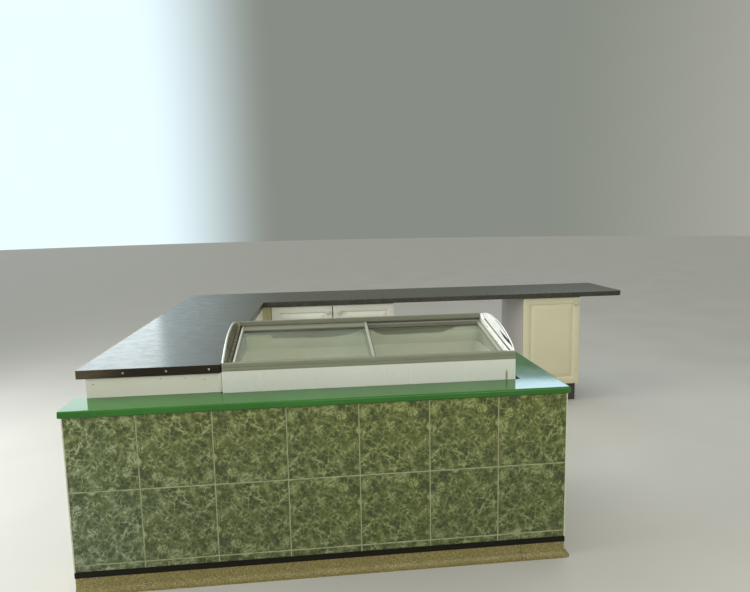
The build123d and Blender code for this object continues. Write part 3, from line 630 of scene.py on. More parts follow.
def wooden(name, lo, hi, axis=2, rough=(0.5, 0.7)):
    m = Mat(name, IOR=1.45)
    sc = [26.0, 26.0, 26.0]
    sc[axis] = 1.3
    v = m.warp(m.pos, m.noise(m.pos, 3, 2, 0.5, colour=True), 0.02)
    grain = m.noise(m.stretch(v, tuple(sc)), 1.6, 5, 0.62, 0.6)
    fibre = m.noise(m.stretch(v, tuple(s * 9 for s in sc)), 1.0, 3, 0.6)
    col = m.ramp(grain, [(0.30, lo), (0.52, tuple((a + b) / 2 for a, b in zip(lo, hi))), (0.72, hi)])
    col = m.mix(m.span(fibre, 0.3, 0.7, 0.0, 0.25), col, lo)
    m.set("Base Color", col)
    m.set("Roughness", m.span(grain, 0.3, 0.7, rough[0], rough[1]))
    m.set("Normal", m.bump(m.math("ADD", grain, m.math("MULTIPLY", fibre, 0.5)), 0.18, 0.0008))
    return m.mat


M["timber"] = wooden("planed_softwood", (0.30, 0.20, 0.095), (0.50, 0.38, 0.20), 2)
M["post"] = wooden("weathered_post", (0.31, 0.285, 0.140), (0.46, 0.43, 0.25), 2)
M["timber_x"] = wooden("planed_softwood_rail", (0.30, 0.20, 0.095), (0.50, 0.38, 0.20), 0)
M["board"] = wooden("plain_board_face", (0.44, 0.36, 0.24), (0.56, 0.48, 0.34), 0, (0.6, 0.8))

# lid glass: clear and a little green, with a thin film on it
m = Mat("lid_glass")
m.t.nodes.remove(m.p)
film = m.noise(m.pos, 3.0, 3, 0.6)
fine = m.noise(m.pos, 40, 3, 0.6)
clear = m.node("ShaderNodeBsdfTransparent", {"Color": (0.955, 0.975, 0.940, 1)})
haze = m.node("ShaderNodeBsdfDiffuse", {"Roughness": 0.0})
m.put(haze.inputs["Color"], m.ramp(fine, [(0.3, (0.50, 0.53, 0.42)), (0.7, (0.60, 0.63, 0.52))]))
gloss = m.node("ShaderNodeBsdfGlossy")
m.put(gloss.inputs["Color"], (0.95, 0.97, 0.94, 1))
m.put(gloss.inputs["Roughness"], m.span(film, 0.3, 0.7, 0.02, 0.07))
body = m.node("ShaderNodeMixShader")
m.put(body.inputs[0], m.span(film, 0.35, 0.70, 0.015, 0.055))
m.put(body.inputs[1], clear.outputs[0])
m.put(body.inputs[2], haze.outputs[0])
fr = m.math("MULTIPLY", m.node("ShaderNodeFresnel", {"IOR": 1.45}).outputs[0], 0.45)
mixed = m.node("ShaderNodeMixShader")
m.put(mixed.inputs[0], fr)
m.put(mixed.inputs[1], body.outputs[0])
m.put(mixed.inputs[2], gloss.outputs[0])
m.t.links.new(mixed.outputs[0], m.out.inputs["Surface"])
M["glass"] = m.mat


def assign(node, mat):
    ob = NODES[node]
    ob.data.materials.clear()
    ob.data.materials.append(mat)


for names, key in ((("base_strip",), "strip"),
                   (("ledge_top",), "ledge"), (("corner_beads",), "bead"),
                   (("upstand_panel", "left_inner_panel"), "panel"), (("left_outer_panel",), "panel_outer_shade"),
                   (("left_worktop", "back_worktop"), "worktop"), (("edge_strip",), "edge"),
                   (("wall_posts",), "timber"), (("corner_post",), "post"), (("wall_rails",), "timber_x"),
                   (("backing_board", "end_wall_lining", "end_wall_rear_board", "left_end_board"), "board"),
                   (("left_unit_sides", "right_unit_sides", "unit_bases", "unit_backs", "unit_shelves",
                     "unit_top_rails"), "carcass"),
                   (("unit_plinths", "unit_plinth_returns"), "plinth_board"),
                   (("left_unit_left_knob", "left_unit_right_knob", "right_unit_knob"), "knob"),
                   (("freezer_cabinet",), "freezer"), (("freezer_feet",), "rubber")):
    for n in names:
        assign(n, M[key])

# ---------------------------------------------------------------------------
# tiles
# ---------------------------------------------------------------------------
TILE, JOINT = 305.0, 4.2
FRONT_X0, FRONT_X1 = 19.0, 2138.0
ROWS = (91.5, 120.0, 439.0, 759.0)
rnd = random.Random(7)

# The marbling that every tile repeats, drawn as strokes: both ends in percent of the tile from its upper
# left corner, half-width in percent, and strength, above 0 for a pale vein and below 0 for a dark patch.
VEINS = (
    (22, 1, 25.5, 9, 1.8, 0.7), (25.5, 9, 28, 20, 2, 0.6), (28, 18, 30, 26, 3, 0.9), (28, 26, 36, 27, 2.5, 0.7),
    (8, 44, 15, 37, 2.3, 0.8), (15, 37, 24, 33, 2.8, 1), (33, 30, 36, 37, 2, 0.8), (38, 11, 46, 16, 1.6, 0.7),
    (46, 16, 55, 23, 1.6, 0.9), (55, 23, 66, 28, 1.6, 0.8), (66, 28, 71, 34, 1.6, 0.6),
    (58, 33, 61, 38, 1.8, 0.8), (58, 33, 62, 28.5, 1.5, 0.7), (61, 38, 65, 41, 1.5, 0.5),
    (66, 38, 69, 37, 1.6, 0.8), (71, 32, 70, 36, 1.3, 0.5), (50.5, 4.5, 56, 8, 2.8, 0.95),
    (56, 8, 60, 7, 2, 0.5), (65, 5, 70, 1, 2.5, 0.8), (66, 6, 70, 13, 2.2, 0.9), (71, 5, 73, 12, 2.6, 0.5),
    (70, 19.5, 75, 19, 2.6, 1), (76, 18, 79, 15.5, 1.6, 0.8), (79, 15.5, 86, 18, 1.8, 0.9),
    (58, 14, 58, 20, 1.3, 0.5), (89, 23, 98, 20, 3, 0.7), (89, 27, 94, 26, 2.5, 0.7),
    (86, 31, 90, 26, 1.5, 0.6), (89, 16, 97, 13, 1.4, 0.5), (80, 3, 90, 2.5, 2.5, 0.7),
    (76, 6, 79, 2, 1.5, 0.5), (73, 37, 84, 36, 1.8, 0.7), (84, 36, 93, 38, 1.8, 0.7),
    (93, 38, 94.5, 43, 1.6, 0.7), (52, 40, 54.5, 38, 2.2, 1), (58, 42, 59, 48, 1, 0.6),
    (59, 48, 56, 53, 1, 0.6), (51, 59.5, 53.5, 64, 1.6, 1), (53.5, 64, 58, 67.5, 1.5, 0.6),
    (92, 60, 95, 56, 2, 1), (1.5, 61, 2, 67, 2, 1), (7, 71, 11, 68, 1.8, 0.9), (11, 68, 20, 71, 1.6, 0.9),
    (13, 61, 19, 62, 1.2, 0.8), (19, 62, 22.5, 66, 1.2, 0.8), (22.5, 66, 22, 69, 1.2, 0.6),
    (20, 71, 24, 76, 1.5, 0.8), (26, 72, 24, 77, 1.6, 0.6), (28, 64, 29, 70, 1.3, 0.6), (30, 73, 33, 70, 2, 1),
    (33, 70, 39, 70, 1.8, 0.6), (36, 73, 42, 76, 0.9, 0.6), (42, 76, 51, 79, 1.4, 0.8),
    (51, 79, 57, 80, 1.6, 0.6), (34, 77, 42, 80.5, 0.8, 0.6), (42, 80.5, 48, 83, 1, 0.7),
    (20, 82, 26, 80, 1.8, 0.8), (21, 88, 27, 91, 1.6, 1), (27, 80, 30, 84, 1.2, 0.6),
    (29, 86, 34, 89, 1.4, 0.7), (37, 88, 48, 88, 3.4, 1), (37, 97, 47, 97, 2.6, 1), (37, 91, 37, 97, 2, 0.7),
    (48, 89, 55, 92, 2.4, 0.6), (55, 93, 63, 95, 1.5, 0.6), (74, 68.5, 80, 66, 2.4, 0.9),
    (75, 71, 78, 72, 2, 0.9), (80, 66, 84, 63, 1.2, 0.6), (80, 70, 92, 71.5, 1.3, 0.7),
    (84, 61, 88, 56, 1.2, 0.7), (76, 62, 80, 59, 1.2, 0.5), (67, 75, 74, 75, 1.3, 0.5),
    (74, 75, 80, 72.5, 1.2, 0.7), (82.5, 80, 86, 88, 1.7, 1), (86, 88, 84, 94, 1.8, 0.8),
    (78, 95, 84, 96, 2, 0.7), (90, 84, 98, 82, 3, 0.8), (93, 88, 97, 86, 2.5, 0.9), (85, 95, 92, 90, 2, 0.6),
    (74, 86.5, 74, 90.5, 1.8, 0.85), (9, 44, 7, 50, 1.2, 0.5), (20, 47, 18, 53, 1.2, 0.6),
    (18, 53, 14, 57, 1.2, 0.6), (22, 46, 29, 43, 1.2, 0.6), (38, 22, 41, 19, 1.8, 0.8),
    (32, 14, 31, 21, 1.2, 0.5), (33, 25, 38, 23, 1.2, 0.5), (22, 16, 23, 16, 1.8, 0.8), (5, 10, 6, 12, 2, 0.5),
    (86, 52, 77, 58, 1, 0.5), (3, 5, 9, 6, 2.4, -0.7), (11, 8, 12, 9, 1.8, -0.6), (16, 8, 23, 12, 1.6, -0.8),
    (27, 4, 29, 7, 2.5, -0.8), (35, 5, 35, 8, 3, -0.5), (41, 3, 47, 4, 2, -0.8), (40, 7, 44, 10, 1.8, -0.7),
    (56, 2.5, 59, 2.5, 2.2, -0.9), (8, 19, 14, 14, 3, -0.6), (7, 22, 13, 25, 3.4, -0.5),
    (14, 20, 21, 23, 4, -0.5), (33, 15, 40, 14, 1.5, -0.9), (40, 15, 43, 20, 1.3, -0.5),
    (47, 21, 54, 26, 2.6, -1), (43, 27, 51, 30, 2.6, -0.6), (57, 29, 59, 29, 1.5, -0.8),
    (51, 15, 53, 15, 1.8, -0.6), (60, 16, 66, 19, 2.2, -1), (66, 12, 68, 17, 2, -1),
    (61.5, 22, 63, 23, 1.5, -0.9), (67, 24, 69, 24, 2, -0.8), (80, 20, 80, 28, 5, -0.7),
    (82, 22, 86, 27, 2.5, -0.5), (80, 11, 88, 13.5, 1.8, -0.9), (75, 2, 76, 8, 1.6, -0.9),
    (96.5, 4, 96.5, 10, 1.5, -1), (91, 8, 91, 10, 2, -0.7), (90, 18, 97, 16, 1.5, -0.6),
    (90, 32.5, 94, 33, 1.8, -0.9), (97, 29, 97, 35, 1.5, -0.5), (64, 31, 67, 36, 2, -0.7),
    (48, 36, 50, 36.5, 1.4, -0.9), (57, 36, 60, 40, 1.3, -0.7), (61, 41, 61, 49, 1.5, -0.5),
    (71, 38, 72, 38, 1.4, -0.6), (84, 41, 89, 44, 2, -0.7), (87, 47, 89, 47, 2.5, -0.9),
    (96, 43, 96, 47, 1.5, -0.5), (71, 47, 77, 53, 3.6, -0.6), (67, 54, 77, 54, 2, -0.6),
    (81, 58, 84, 56, 1.8, -0.7), (11, 50, 17, 49, 3.6, -0.65), (2, 52, 4, 55, 2.5, -0.8),
    (7, 57, 14, 60, 1.7, -0.8), (23, 48, 27, 48, 2.4, -0.5), (24, 54, 24, 58, 2.4, -0.5),
    (34, 50, 42, 47, 2.5, -0.7), (32, 57, 35, 57, 2.2, -0.7), (30, 38, 30, 41, 1.5, -0.8),
    (37, 32, 38, 33, 1.5, -0.6), (5.5, 65, 7, 66, 1.8, -1), (15, 65.5, 19, 67, 1.5, -0.9),
    (17, 72, 17, 74, 1.5, -0.8), (4, 74, 12, 77, 4, -0.9), (3.5, 77, 3, 82, 1.8, -0.9),
    (7, 82, 6, 89, 3.8, -0.8), (13, 77, 18, 75, 2.2, -0.6), (14, 91, 14, 95, 2.5, -0.7),
    (20, 97, 33, 96, 2.8, -0.75), (4, 70, 4, 73, 1.6, -0.8), (22, 78, 23, 78, 1.6, -0.7),
    (31.5, 79, 33, 82, 1.6, -0.9), (28, 73, 28, 77, 1.5, -0.6), (33, 86.5, 36, 84, 1.3, -0.9),
    (36, 84, 44, 83, 0.9, -0.9), (44, 84, 52, 86, 0.9, -0.8), (33, 78, 39, 79.5, 0.8, -0.6),
    (34, 74.5, 39, 76.5, 0.8, -0.6), (39, 78.5, 47, 82, 0.8, -0.6), (23, 86, 29, 87, 1.4, -0.7),
    (46, 62, 48, 63, 1.8, -0.6), (41, 71.5, 47, 73, 2, -0.95), (69, 67, 73, 73, 1.9, -1),
    (66, 63, 68, 63, 1.8, -0.5), (75, 63, 75, 65, 1.5, -0.8), (66, 79.5, 66, 82, 1.8, -1),
    (74, 77, 80, 76, 2.4, -1), (79, 78, 82, 86, 2.2, -1), (74, 80, 75, 85, 2.5, -0.5),
    (70, 86, 71, 93, 1.8, -0.6), (78, 89, 79, 90, 2, -0.6), (73, 95, 75, 97, 2.4, -0.6),
    (85, 66, 90, 67, 2.4, -0.9), (88.5, 59, 88.5, 63, 1.6, -0.8), (96.5, 59, 96.5, 63, 1.3, -0.9),
    (94, 73.5, 98, 76, 2.2, -1), (88, 76, 87, 83, 1.8, -0.95),
)


def tile_print(x, y):
    """Lightness of the print, from about -1 to 1, at arrays of positions in percent of the tile."""
    wander = [noise.noise_vector((a * 0.13, b * 0.13, 3.0)) * 0.9 + noise.noise_vector((a * 0.34, b * 0.34, 8.0)) * 0.55
              for a, b in zip(x.tolist(), y.tolist())]
    wander = np.array([tuple(w)[:2] for w in wander])
    x, y = x + wander[:, 0], y + wander[:, 1]
    light, dark = np.zeros(len(x)), np.zeros(len(x))
    for x1, y1, x2, y2, w, s in VEINS:
        dx, dy = x2 - x1, y2 - y1
        t = np.clip(((x - x1) * dx + (y - y1) * dy) / (dx * dx + dy * dy), 0, 1)
        d = np.hypot(x - x1 - t * dx, y - y1 - t * dy) / w
        f = abs(s) * np.exp(-0.9 * d * d)
        if s > 0:
            light = 1 - (1 - light) * (1 - f)
        else:
            dark = 1 - (1 - dark) * (1 - f)
    return light - dark


class Tiles:
    """Tiles of one wall, each a fine sheet with eased edges, gathered into one mesh over a bed of grout."""

    def __init__(self, axis, face, out, step):
        self.axis, self.face, self.out, self.step = axis, face, out, step
        self.co, self.faces, self.mats, self.uv, self.drawn, self.tone = [], [], [], [], [], []
        self.count = 0

    def tile(self, a0, a1, z0, z1, cell, low, high, turn, level):
        """A tile from a0 to a1 and z0 to z1; its print fills cell to cell + 305 and low to high."""
        lip = rnd.uniform(0.0, 0.25)
        edge = (0.0, 0.35, 1.0, 2.2)

        def line(p, q):
            n = max(1, round((q - p - 4.4) / self.step))
            inner = [p + 2.2 + (q - p - 4.4) * k / n for k in range(1, n)]
            return [p + e for e in edge] + inner + [q - e for e in edge[::-1]]

        ga, gz = line(a0, a1), line(z0, z1)
        na, nz = len(ga), len(gz)
        a, z = np.meshgrid(np.array(ga), np.array(gz))
        a, z = a.ravel(), z.ravel()
        inset = np.minimum(np.minimum(a - a0, a1 - a), np.minimum(z - z0, z1 - z))
        depth = np.interp(inset, (0.0, 0.35, 1.0, 2.2), (1.5, 0.75, 0.22, 0.0)) + lip
        u, v = (a - cell) / 305.0, (z - low) / (high - low)
        for _ in range(turn):
            u, v = 1 - v, u
        k = self.count
        rim = ([i for i in range(na)] + [i * na + na - 1 for i in range(1, nz)]
               + [(nz - 1) * na + i for i in range(na - 2, -1, -1)] + [i * na for i in range(nz - 2, 0, -1)])
        for i in range(nz - 1):
            for j in range(na - 1):
                self.faces.append((k + i * na + j, k + i * na + j + 1, k + (i + 1) * na + j + 1, k + (i + 1) * na + j))
        m0 = k + na * nz
        for i in range(len(rim)):
            j = (i + 1) % len(rim)
            self.faces.append((k + rim[j], k + rim[i], m0 + i, m0 + j))
        self.faces.append(tuple(m0 + i for i in range(len(rim) - 1, -1, -1)))
        aa, zz = np.concatenate((a, a[rim])), np.concatenate((z, z[rim]))
        dd = np.concatenate((depth, np.full(len(rim), 7.0 + lip)))
        uu, vv = np.concatenate((u, u[rim])), np.concatenate((v, v[rim]))
        flat = self.face - self.out * dd
        xyz = np.stack((aa, flat, zz) if self.axis == 0 else (flat, aa, zz), 1)
        self.co.append(xyz)
        self.uv.append(np.stack((uu, vv), 1) * 0.305)
        self.drawn.append(tile_print(uu * 100, (1 - vv) * 100))
        self.tone.append(np.full(len(aa), level))
        self.mats += [0] * (len(self.faces) - len(self.mats))
        self.count += len(aa)

    def bed(self, x0, x1, y0, y1, z0, z1):
        k = self.count
        co = [(x, y, z) for x in (x0, x1) for y in (y0, y1) for z in (z0, z1)]
        self.faces += [tuple(k + i for i in f) for f in ((0, 1, 3, 2), (4, 6, 7, 5), (0, 4, 5, 1), (2, 3, 7, 6), (0, 2, 6, 4), (1, 5, 7, 3))]
        self.mats += [1] * 6
        self.co.append(np.array(co))
        self.uv.append(np.zeros((8, 2)))
        self.drawn.append(np.zeros(8))
        self.tone.append(np.full(8, 0.5))
        self.count += 8

    def finish(self, name, replaces):
        co = np.concatenate(self.co) / 1000 + np.array((OX, OY, 0.0))
        me = bpy.data.meshes.new(name)
        me.from_pydata(co.tolist(), [], self.faces)
        me.polygons.foreach_set("material_index", self.mats)
        me.update()
        bm = bmesh.new()
        bm.from_mesh(me)
        bmesh.ops.recalc_face_normals(bm, faces=bm.faces[:])
        bm.to_mesh(me)
        bm.free()
        me.polygons.foreach_set("use_smooth", [True] * len(me.polygons))
        me.set_sharp_from_angle(angle=math.radians(40))
        for key, values in (("print", self.drawn), ("tone", self.tone)):
            me.attributes.new(key, "FLOAT", "POINT").data.foreach_set("value", np.concatenate(values).astype(np.float32))
        uv = np.concatenate(self.uv)
        loops = np.empty(len(me.loops), dtype=np.int32)
        me.loops.foreach_get("vertex_index", loops)
        me.uv_layers.new(name="tile").data.foreach_set("uv", uv[loops].astype(np.float32).ravel())
        me.materials.append(M["tile"])
        me.materials.append(M["grout"])
        ob = bpy.data.objects.new(name, me)
        bpy.context.scene.collection.objects.link(ob)
        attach(ob, "counter")
        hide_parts(*replaces)


# quarter turns of the print, upper row then lower row
TURNS = ((3, 0, 0, 2, 2, 2, 1), (1, 0, 0, 2, 2, 1, 2), (0, 2, 1, 0, 3, 0, 2))
t = Tiles(0, 0.0, -1, 4.3)
t.bed(FRONT_X0, FRONT_X1, 0.95, 12.0, 91.5, 759.0)
cols = [FRONT_X0] + [TILE * k for k in range(1, 7)] + [FRONT_X1]
for r in range(3):
    for k in range(7):
        x0 = cols[k] + (JOINT / 2 if k else 0.0)
        x1 = cols[k + 1] - (JOINT / 2 if k < 6 else 0.0)
        z0, z1 = ROWS[r] + (JOINT / 2 if r else 0.0), ROWS[r + 1] - (JOINT / 2 if r < 2 else 0.0)
        low, high = (ROWS[r], ROWS[r + 1]) if r else (ROWS[1] - 319.0, ROWS[1])
        t.tile(x0, x1, z0, z1, TILE * k, low, high, TURNS[2 - r][k], rnd.uniform(0.35, 0.65))
t.finish("front_tiles", ("front_tile_panel",))

t = Tiles(1, 2138.0, 1, 6.0)
t.bed(2126.0, 2137.05, 12.0, 850.0, 91.5, 759.0)
cols = [12.0, 305.0, 610.0, 850.0]
for r in range(3):
    for k in range(3):
        y0 = cols[k] + (JOINT / 2 if k else 0.0)
        y1 = cols[k + 1] - (JOINT / 2 if k < 2 else 0.0)
        z0, z1 = ROWS[r] + (JOINT / 2 if r else 0.0), ROWS[r + 1] - (JOINT / 2 if r < 2 else 0.0)
        low, high = (ROWS[r], ROWS[r + 1]) if r else (ROWS[1] - 319.0, ROWS[1])
        t.tile(y0, y1, z0, z1, TILE * k, low, high, (k + 2 * r + 1) % 4, rnd.uniform(0.35, 0.65))
t.finish("end_tiles", ("end_tile_panel",))

# ---------------------------------------------------------------------------
# plinth with its coved vinyl, open at one upright seam
# ---------------------------------------------------------------------------
SEAM_X = 1938.0


def cove(inset=0.0):
    """(distance out from the face, height) down the face and out along the cove."""
    pts = [(-inset, 66.0), (-inset, 48.0), (-inset, 27.0)]
    for k in range(1, 9):
        a = math.radians(90 * k / 8)
        pts.append((25.0 - (25.0 + inset) * math.cos(a), 27.0 - 25.0 * math.sin(a) - 0.0 * inset))
    pts.append((25.0, 0.0))
    return pts


s = Shape()


def front_ring(x, inset=0.0):
    xi = min(x, 2126.0)
    return [(x, -d, z) for d, z in cove(inset)] + [(xi, 12.0, 0.0), (xi, 12.0, 66.0)]


def corner_ring(a, inset=0.0):
    sn, cs = math.sin(math.radians(a)), math.cos(math.radians(a))
    return [(2138.0 + d * sn, -d * cs, z) for d, z in cove(inset)] + [(2126.0, 12.0, 0.0), (2126.0, 12.0, 66.0)]


s.loft([front_ring(19.0)] + [front_ring(19.0 + (SEAM_X - 26.0) * k / 24) for k in range(1, 24)]
       + [front_ring(SEAM_X - 6.0), front_ring(SEAM_X - 2.4, -0.35), front_ring(SEAM_X - 0.9, 0.5)])
s.loft([front_ring(SEAM_X + 0.9, 0.6), front_ring(SEAM_X + 2.6, -0.25), front_ring(SEAM_X + 6.0)]
       + [corner_ring(a) for a in (0, 15, 30, 45, 60, 75, 90)]
       + [[(2138.0 + d, y, z) for d, z in cove()] + [(2126.0, y, 0.0), (2126.0, y, 66.0)] for y in (12.5, 300.0, 600.0, 850.0)])
# a dark box of painted shade behind the open seam
s.box(SEAM_X - 3.0, SEAM_X + 3.0, 0.8, 11.0, 2.0, 66.0, mat=2)
s.box(31.0, 2126.0, 12.0, 95.0, 0.0, 66.0, mat=1)
s.box(1990.0, 2126.0, 95.0, 850.0, 0.0, 66.0, mat=1)
make(s, "plinth_cove", [M["vinyl"], M["board"], M["seam"]], replaces=("plinth_skirting",), angle=50)

# ---------------------------------------------------------------------------
# upstand trim and marks, edge strip screws
# ---------------------------------------------------------------------------
s = Shape()
s.box(618.6, 633.4, 166.8, 169.6, 789.2, 875.6, r=0.6)
make(s, "upstand_end_bead", [M["panel"]])

s = Shape()
for x, z, r in ((91.2, 848.5, 2.0), (375.4, 861.0, 1.7), (478.7, 857.4, 1.6), (560.0, 849.0, 1.7)):
    s.disc((x, 169.0, z), (0, -1, 0), [(r + 0.5, 0.0), (r + 0.5, 0.15), (r, 0.3), (0.0, 0.2)], 16)
make(s, "upstand_filled_holes", [M["seam"]])


def screw(s, centre, axis, r=4.6, mat=0, dark=1):
    """A countersunk head with a cross recess, drawn as a dark cross of painted shade."""
    s.disc(centre, axis, [(r, 0.0), (r, 0.35), (r * 0.9, 0.8), (r * 0.55, 1.05), (0.0, 1.1)], 20, mat)
    a = Vector(axis).normalized()
    c = Vector(centre) + a * 0.95
    u = a.orthogonal().normalized()
    w = a.cross(u)
    for turn in (0.35, 0.35 + math.pi / 2):
        d = u * math.cos(turn) + w * math.sin(turn)
        e = a.cross(d)
        q = [c + d * i * r * 0.55 + e * j * r * 0.10 + a * h for h in (0.0, 0.22) for i, j in ((-1, -1), (1, -1), (1, 1), (-1, 1))]
        s.add([tuple(p) for p in q], [[0, 3, 2, 1], [4, 5, 6, 7], [0, 1, 5, 4], [1, 2, 6, 5], [2, 3, 7, 6], [3, 0, 4, 7]], dark)


s = Shape()
for x in (221.3, 401.6, 582.8):
    screw(s, (x, 157.0, 894.6), (0, -1, 0))
make(s, "edge_strip_screws", [M["steel"], M["seam"]])

# ---------------------------------------------------------------------------
# base unit doors
# ---------------------------------------------------------------------------
DOOR_Y0, DOOR_Z0, DOOR_Z1 = 2153.0, 157.0, 870.0
# (inset from the edge, depth behind the front plane, corner radius)
DOOR_PROFILE = ((0.0, 18.0, 2.0), (0.0, 3.2, 2.0), (0.35, 1.5, 2.2), (1.3, 0.45, 2.6), (3.0, 0.0, 3.0),
                (49.0, 0.0, 7.0), (50.0, 0.35, 6.5), (51.2, 1.8, 6.0), (52.6, 4.2, 5.5), (54.6, 5.6, 5.0),
                (57.5, 6.0, 4.5), (60.5, 5.7, 4.0), (62.5, 5.0, 3.4), (86.0, 1.3, 1.2), (88.5, 0.75, 1.0), (91.0, 0.6, 1.0))


def door(name, x0, x1, body):
    s = Shape()
    rings = [[(x, DOOR_Y0 + depth, z) for x, z in rect_ring(x0 + i, x1 - i, DOOR_Z0 + i, DOOR_Z1 - i, r)]
             for i, depth, r in DOOR_PROFILE]
    s.loft(rings)
    make(s, name + "_panelled", [M["door"]], body, replaces=(name,), angle=55)


door("left_unit_left_door", 726.0, 1188.0, "left_unit_left_door_body")
door("left_unit_right_door", 1194.0, 1670.0, "left_unit_right_door_body")
door("right_unit_door", 2717.0, 3186.0, "right_unit_door_body")

# ---------------------------------------------------------------------------
# freezer
# ---------------------------------------------------------------------------
FZ_X0, FZ_X1, FZ_Y0, FZ_Y1 = 637.0, 1958.0, 154.0, 834.0
CAP_T, TRIM_T, FZ_TOP = 37.0, 14.0, 882.5
CAV_X0, CAV_X1, CAV_Y0, CAV_Y1, CAV_Z0 = 697.0, 1898.0, 230.0, 588.0, 250.0
HUMP_X, HUMP_Z = 872.0, 610.0
LID_R, LID_YC, LID_ZC, LID_T, LID_GAP = 20000.0, 4269.0, -18664.4, 10.0, 6.0
UPPER_Y, LOWER_Y, DROP = (184.0, 638.0), (212.0, 606.0), 16.0


def lid_z(y, drop=0.0):
    return LID_ZC + math.sqrt(LID_R ** 2 - (y - LID_YC) ** 2) - drop


# lining: an open tray with round corners and the step over the machinery
bm = bmesh.new()
outline = [(CAV_X0 + 3, FZ_TOP), (CAV_X0 + 3, HUMP_Z + 3), (HUMP_X + 3, HUMP_Z + 3), (HUMP_X + 3, CAV_Z0 + 3),
           (CAV_X1 - 3, CAV_Z0 + 3), (CAV_X1 - 3, FZ_TOP)]
front = [bm.verts.new((x, CAV_Y0 + 3, z)) for x, z in outline]
back = [bm.verts.new((x, CAV_Y1 - 3, z)) for x, z in outline]
bm.faces.new(front)
bm.faces.new(back[::-1])
for i in range(5):
    bm.faces.new((front[i], back[i], back[i + 1], front[i + 1]))
top = [e for e in bm.edges if all(abs(q.co.z - FZ_TOP) < 0.1 for q in e.verts)]
bmesh.ops.bevel(bm, geom=[e for e in bm.edges if e not in top], offset=22.0, segments=5, profile=0.5,
                affect="EDGES", clamp_overlap=True)
s = Shape()
s.take(bm)
liner = make(s, "freezer_lining_tray", [M["liner"]], replaces=("freezer_liner",), angle=60)
bm = bmesh.new()
bm.from_mesh(liner.data)
open_top = [f for f in bm.faces if all(q.co.z * 1000 > FZ_TOP - 0.5 for q in f.verts)]
if open_top:
    bmesh.ops.delete(bm, geom=open_top, context="FACES")
for f in bm.faces:
    f.normal_flip()
bm.to_mesh(liner.data)
bm.free()
mod = liner.modifiers.new("sheet", "SOLIDIFY")
mod.thickness, mod.offset = 0.0028, -1.0

# front rail: outer lip with a fine groove, then a step for each lid, on the cabinet's top
s = Shape()
rail = [(154.0, FZ_TOP), (154.0, 897.6), (155.3, 898.2), (155.3, 899.8), (154.0, 900.4), (154.0, 919.0), (178.0, 919.0),
        (178.0, lid_z(184, LID_T + LID_GAP)), (206.0, lid_z(206, LID_T + LID_GAP)),
        (206.0, lid_z(206, DROP + LID_T + LID_GAP)), (CAV_Y0, lid_z(CAV_Y0, DROP + LID_T + LID_GAP)), (CAV_Y0, FZ_TOP)]
lip = rounded(rail, [0, 0.4, 0.3, 0.3, 0.4, 4.5, 1.6, 0, 1.0, 0, 1.0, 0])
s.prism_x(lip, FZ_X0 + CAP_T, FZ_X1 - CAP_T)
nose = rounded([(154.0, FZ_TOP), (154.0, 897.6), (155.3, 898.2), (155.3, 899.8), (154.0, 900.4), (154.0, 919.0), (166.0, 919.0), (166.0, FZ_TOP)],
               [0, 0.4, 0.3, 0.3, 0.4, 4.5, 0.6, 0])


def end_ring(x, inset, drop):
    return [(x, min(y + inset, 165.0), min(z, 919.0 - drop)) for y, z in nose]


for end, way in ((FZ_X0, 1), (FZ_X1, -1)):
    inner = end + way * CAP_T
    rings = [end_ring(end, 3.2, 9.0), end_ring(end + way * 0.8, 1.8, 5.6), end_ring(end + way * 2.4, 0.7, 2.6),
             end_ring(end + way * 4.6, 0.2, 0.8), end_ring(end + way * 7.5, 0.0, 0.0), end_ring(inner - way * 0.6, 0.0, 0.0),
             end_ring(inner - way * 0.3, 0.5, 0.5), end_ring(inner, 0.5, 0.5)]
    s.loft(rings)
for ya, yb, drop in ((180.0, 204.5, 0.0), (208.5, 228.0, DROP)):
    foot = LID_T + LID_GAP + drop
    s.prism_x(rounded([(ya, lid_z(ya, foot) - 0.2), (yb, lid_z(yb, foot) - 0.2), (yb, lid_z(yb, foot) + 3.0), (ya, lid_z(ya, foot) + 3.0)],
                      [0, 0, 0.8, 0.8], 2), FZ_X0 + CAP_T + 1.0, FZ_X1 - CAP_T - 1.0, 1)
make(s, "front_rail_profile", [M["rail"], M["gasket"]], replaces=("freezer_front_rail",), angle=45)

# rear rail: lower step, groove for the upper lid under a lip, and the sloping cover behind
s = Shape()
rail = [(CAV_Y1, FZ_TOP), (CAV_Y1, lid_z(CAV_Y1, DROP + LID_T + LID_GAP)), (612.0, lid_z(612, DROP + LID_T + LID_GAP)),
        (612.0, lid_z(612, LID_T + LID_GAP)), (644.0, lid_z(644, LID_T + LID_GAP)), (644.0, lid_z(644, -1.5)),
        (615.0, lid_z(615, -1.5)), (615.0, 1021.5), (617.5, 1024.0), (640.0, 1021.5), (700.0, 1004.0), (834.0, 952.0),
        (834.0, FZ_TOP)]
s.prism_x(rounded(rail, [0, 1, 0, 1, 0, 0, 0.8, 1.2, 1.5, 8, 12, 4, 0]), FZ_X0 + CAP_T, FZ_X1 - CAP_T)
for ya, yb, drop in ((618.0, 640.0, 0.0), (590.5, 610.0, DROP)):
    foot = LID_T + LID_GAP + drop
    s.prism_x(rounded([(ya, lid_z(ya, foot) - 0.2), (yb, lid_z(yb, foot) - 0.2), (yb, lid_z(yb, foot) + 3.0), (ya, lid_z(ya, foot) + 3.0)],
                      [0, 0, 0.8, 0.8], 2), FZ_X0 + CAP_T + 1.0, FZ_X1 - CAP_T - 1.0, 1)
s.prism_x(rounded([(642.6, lid_z(643, 15.6)), (644.4, lid_z(643, 15.6)), (644.4, lid_z(643, -1.3)), (642.6, lid_z(643, -1.3))],
                  [0.4, 0, 0, 0.4], 2), FZ_X0 + CAP_T + 1.0, FZ_X1 - CAP_T - 1.0, 1)
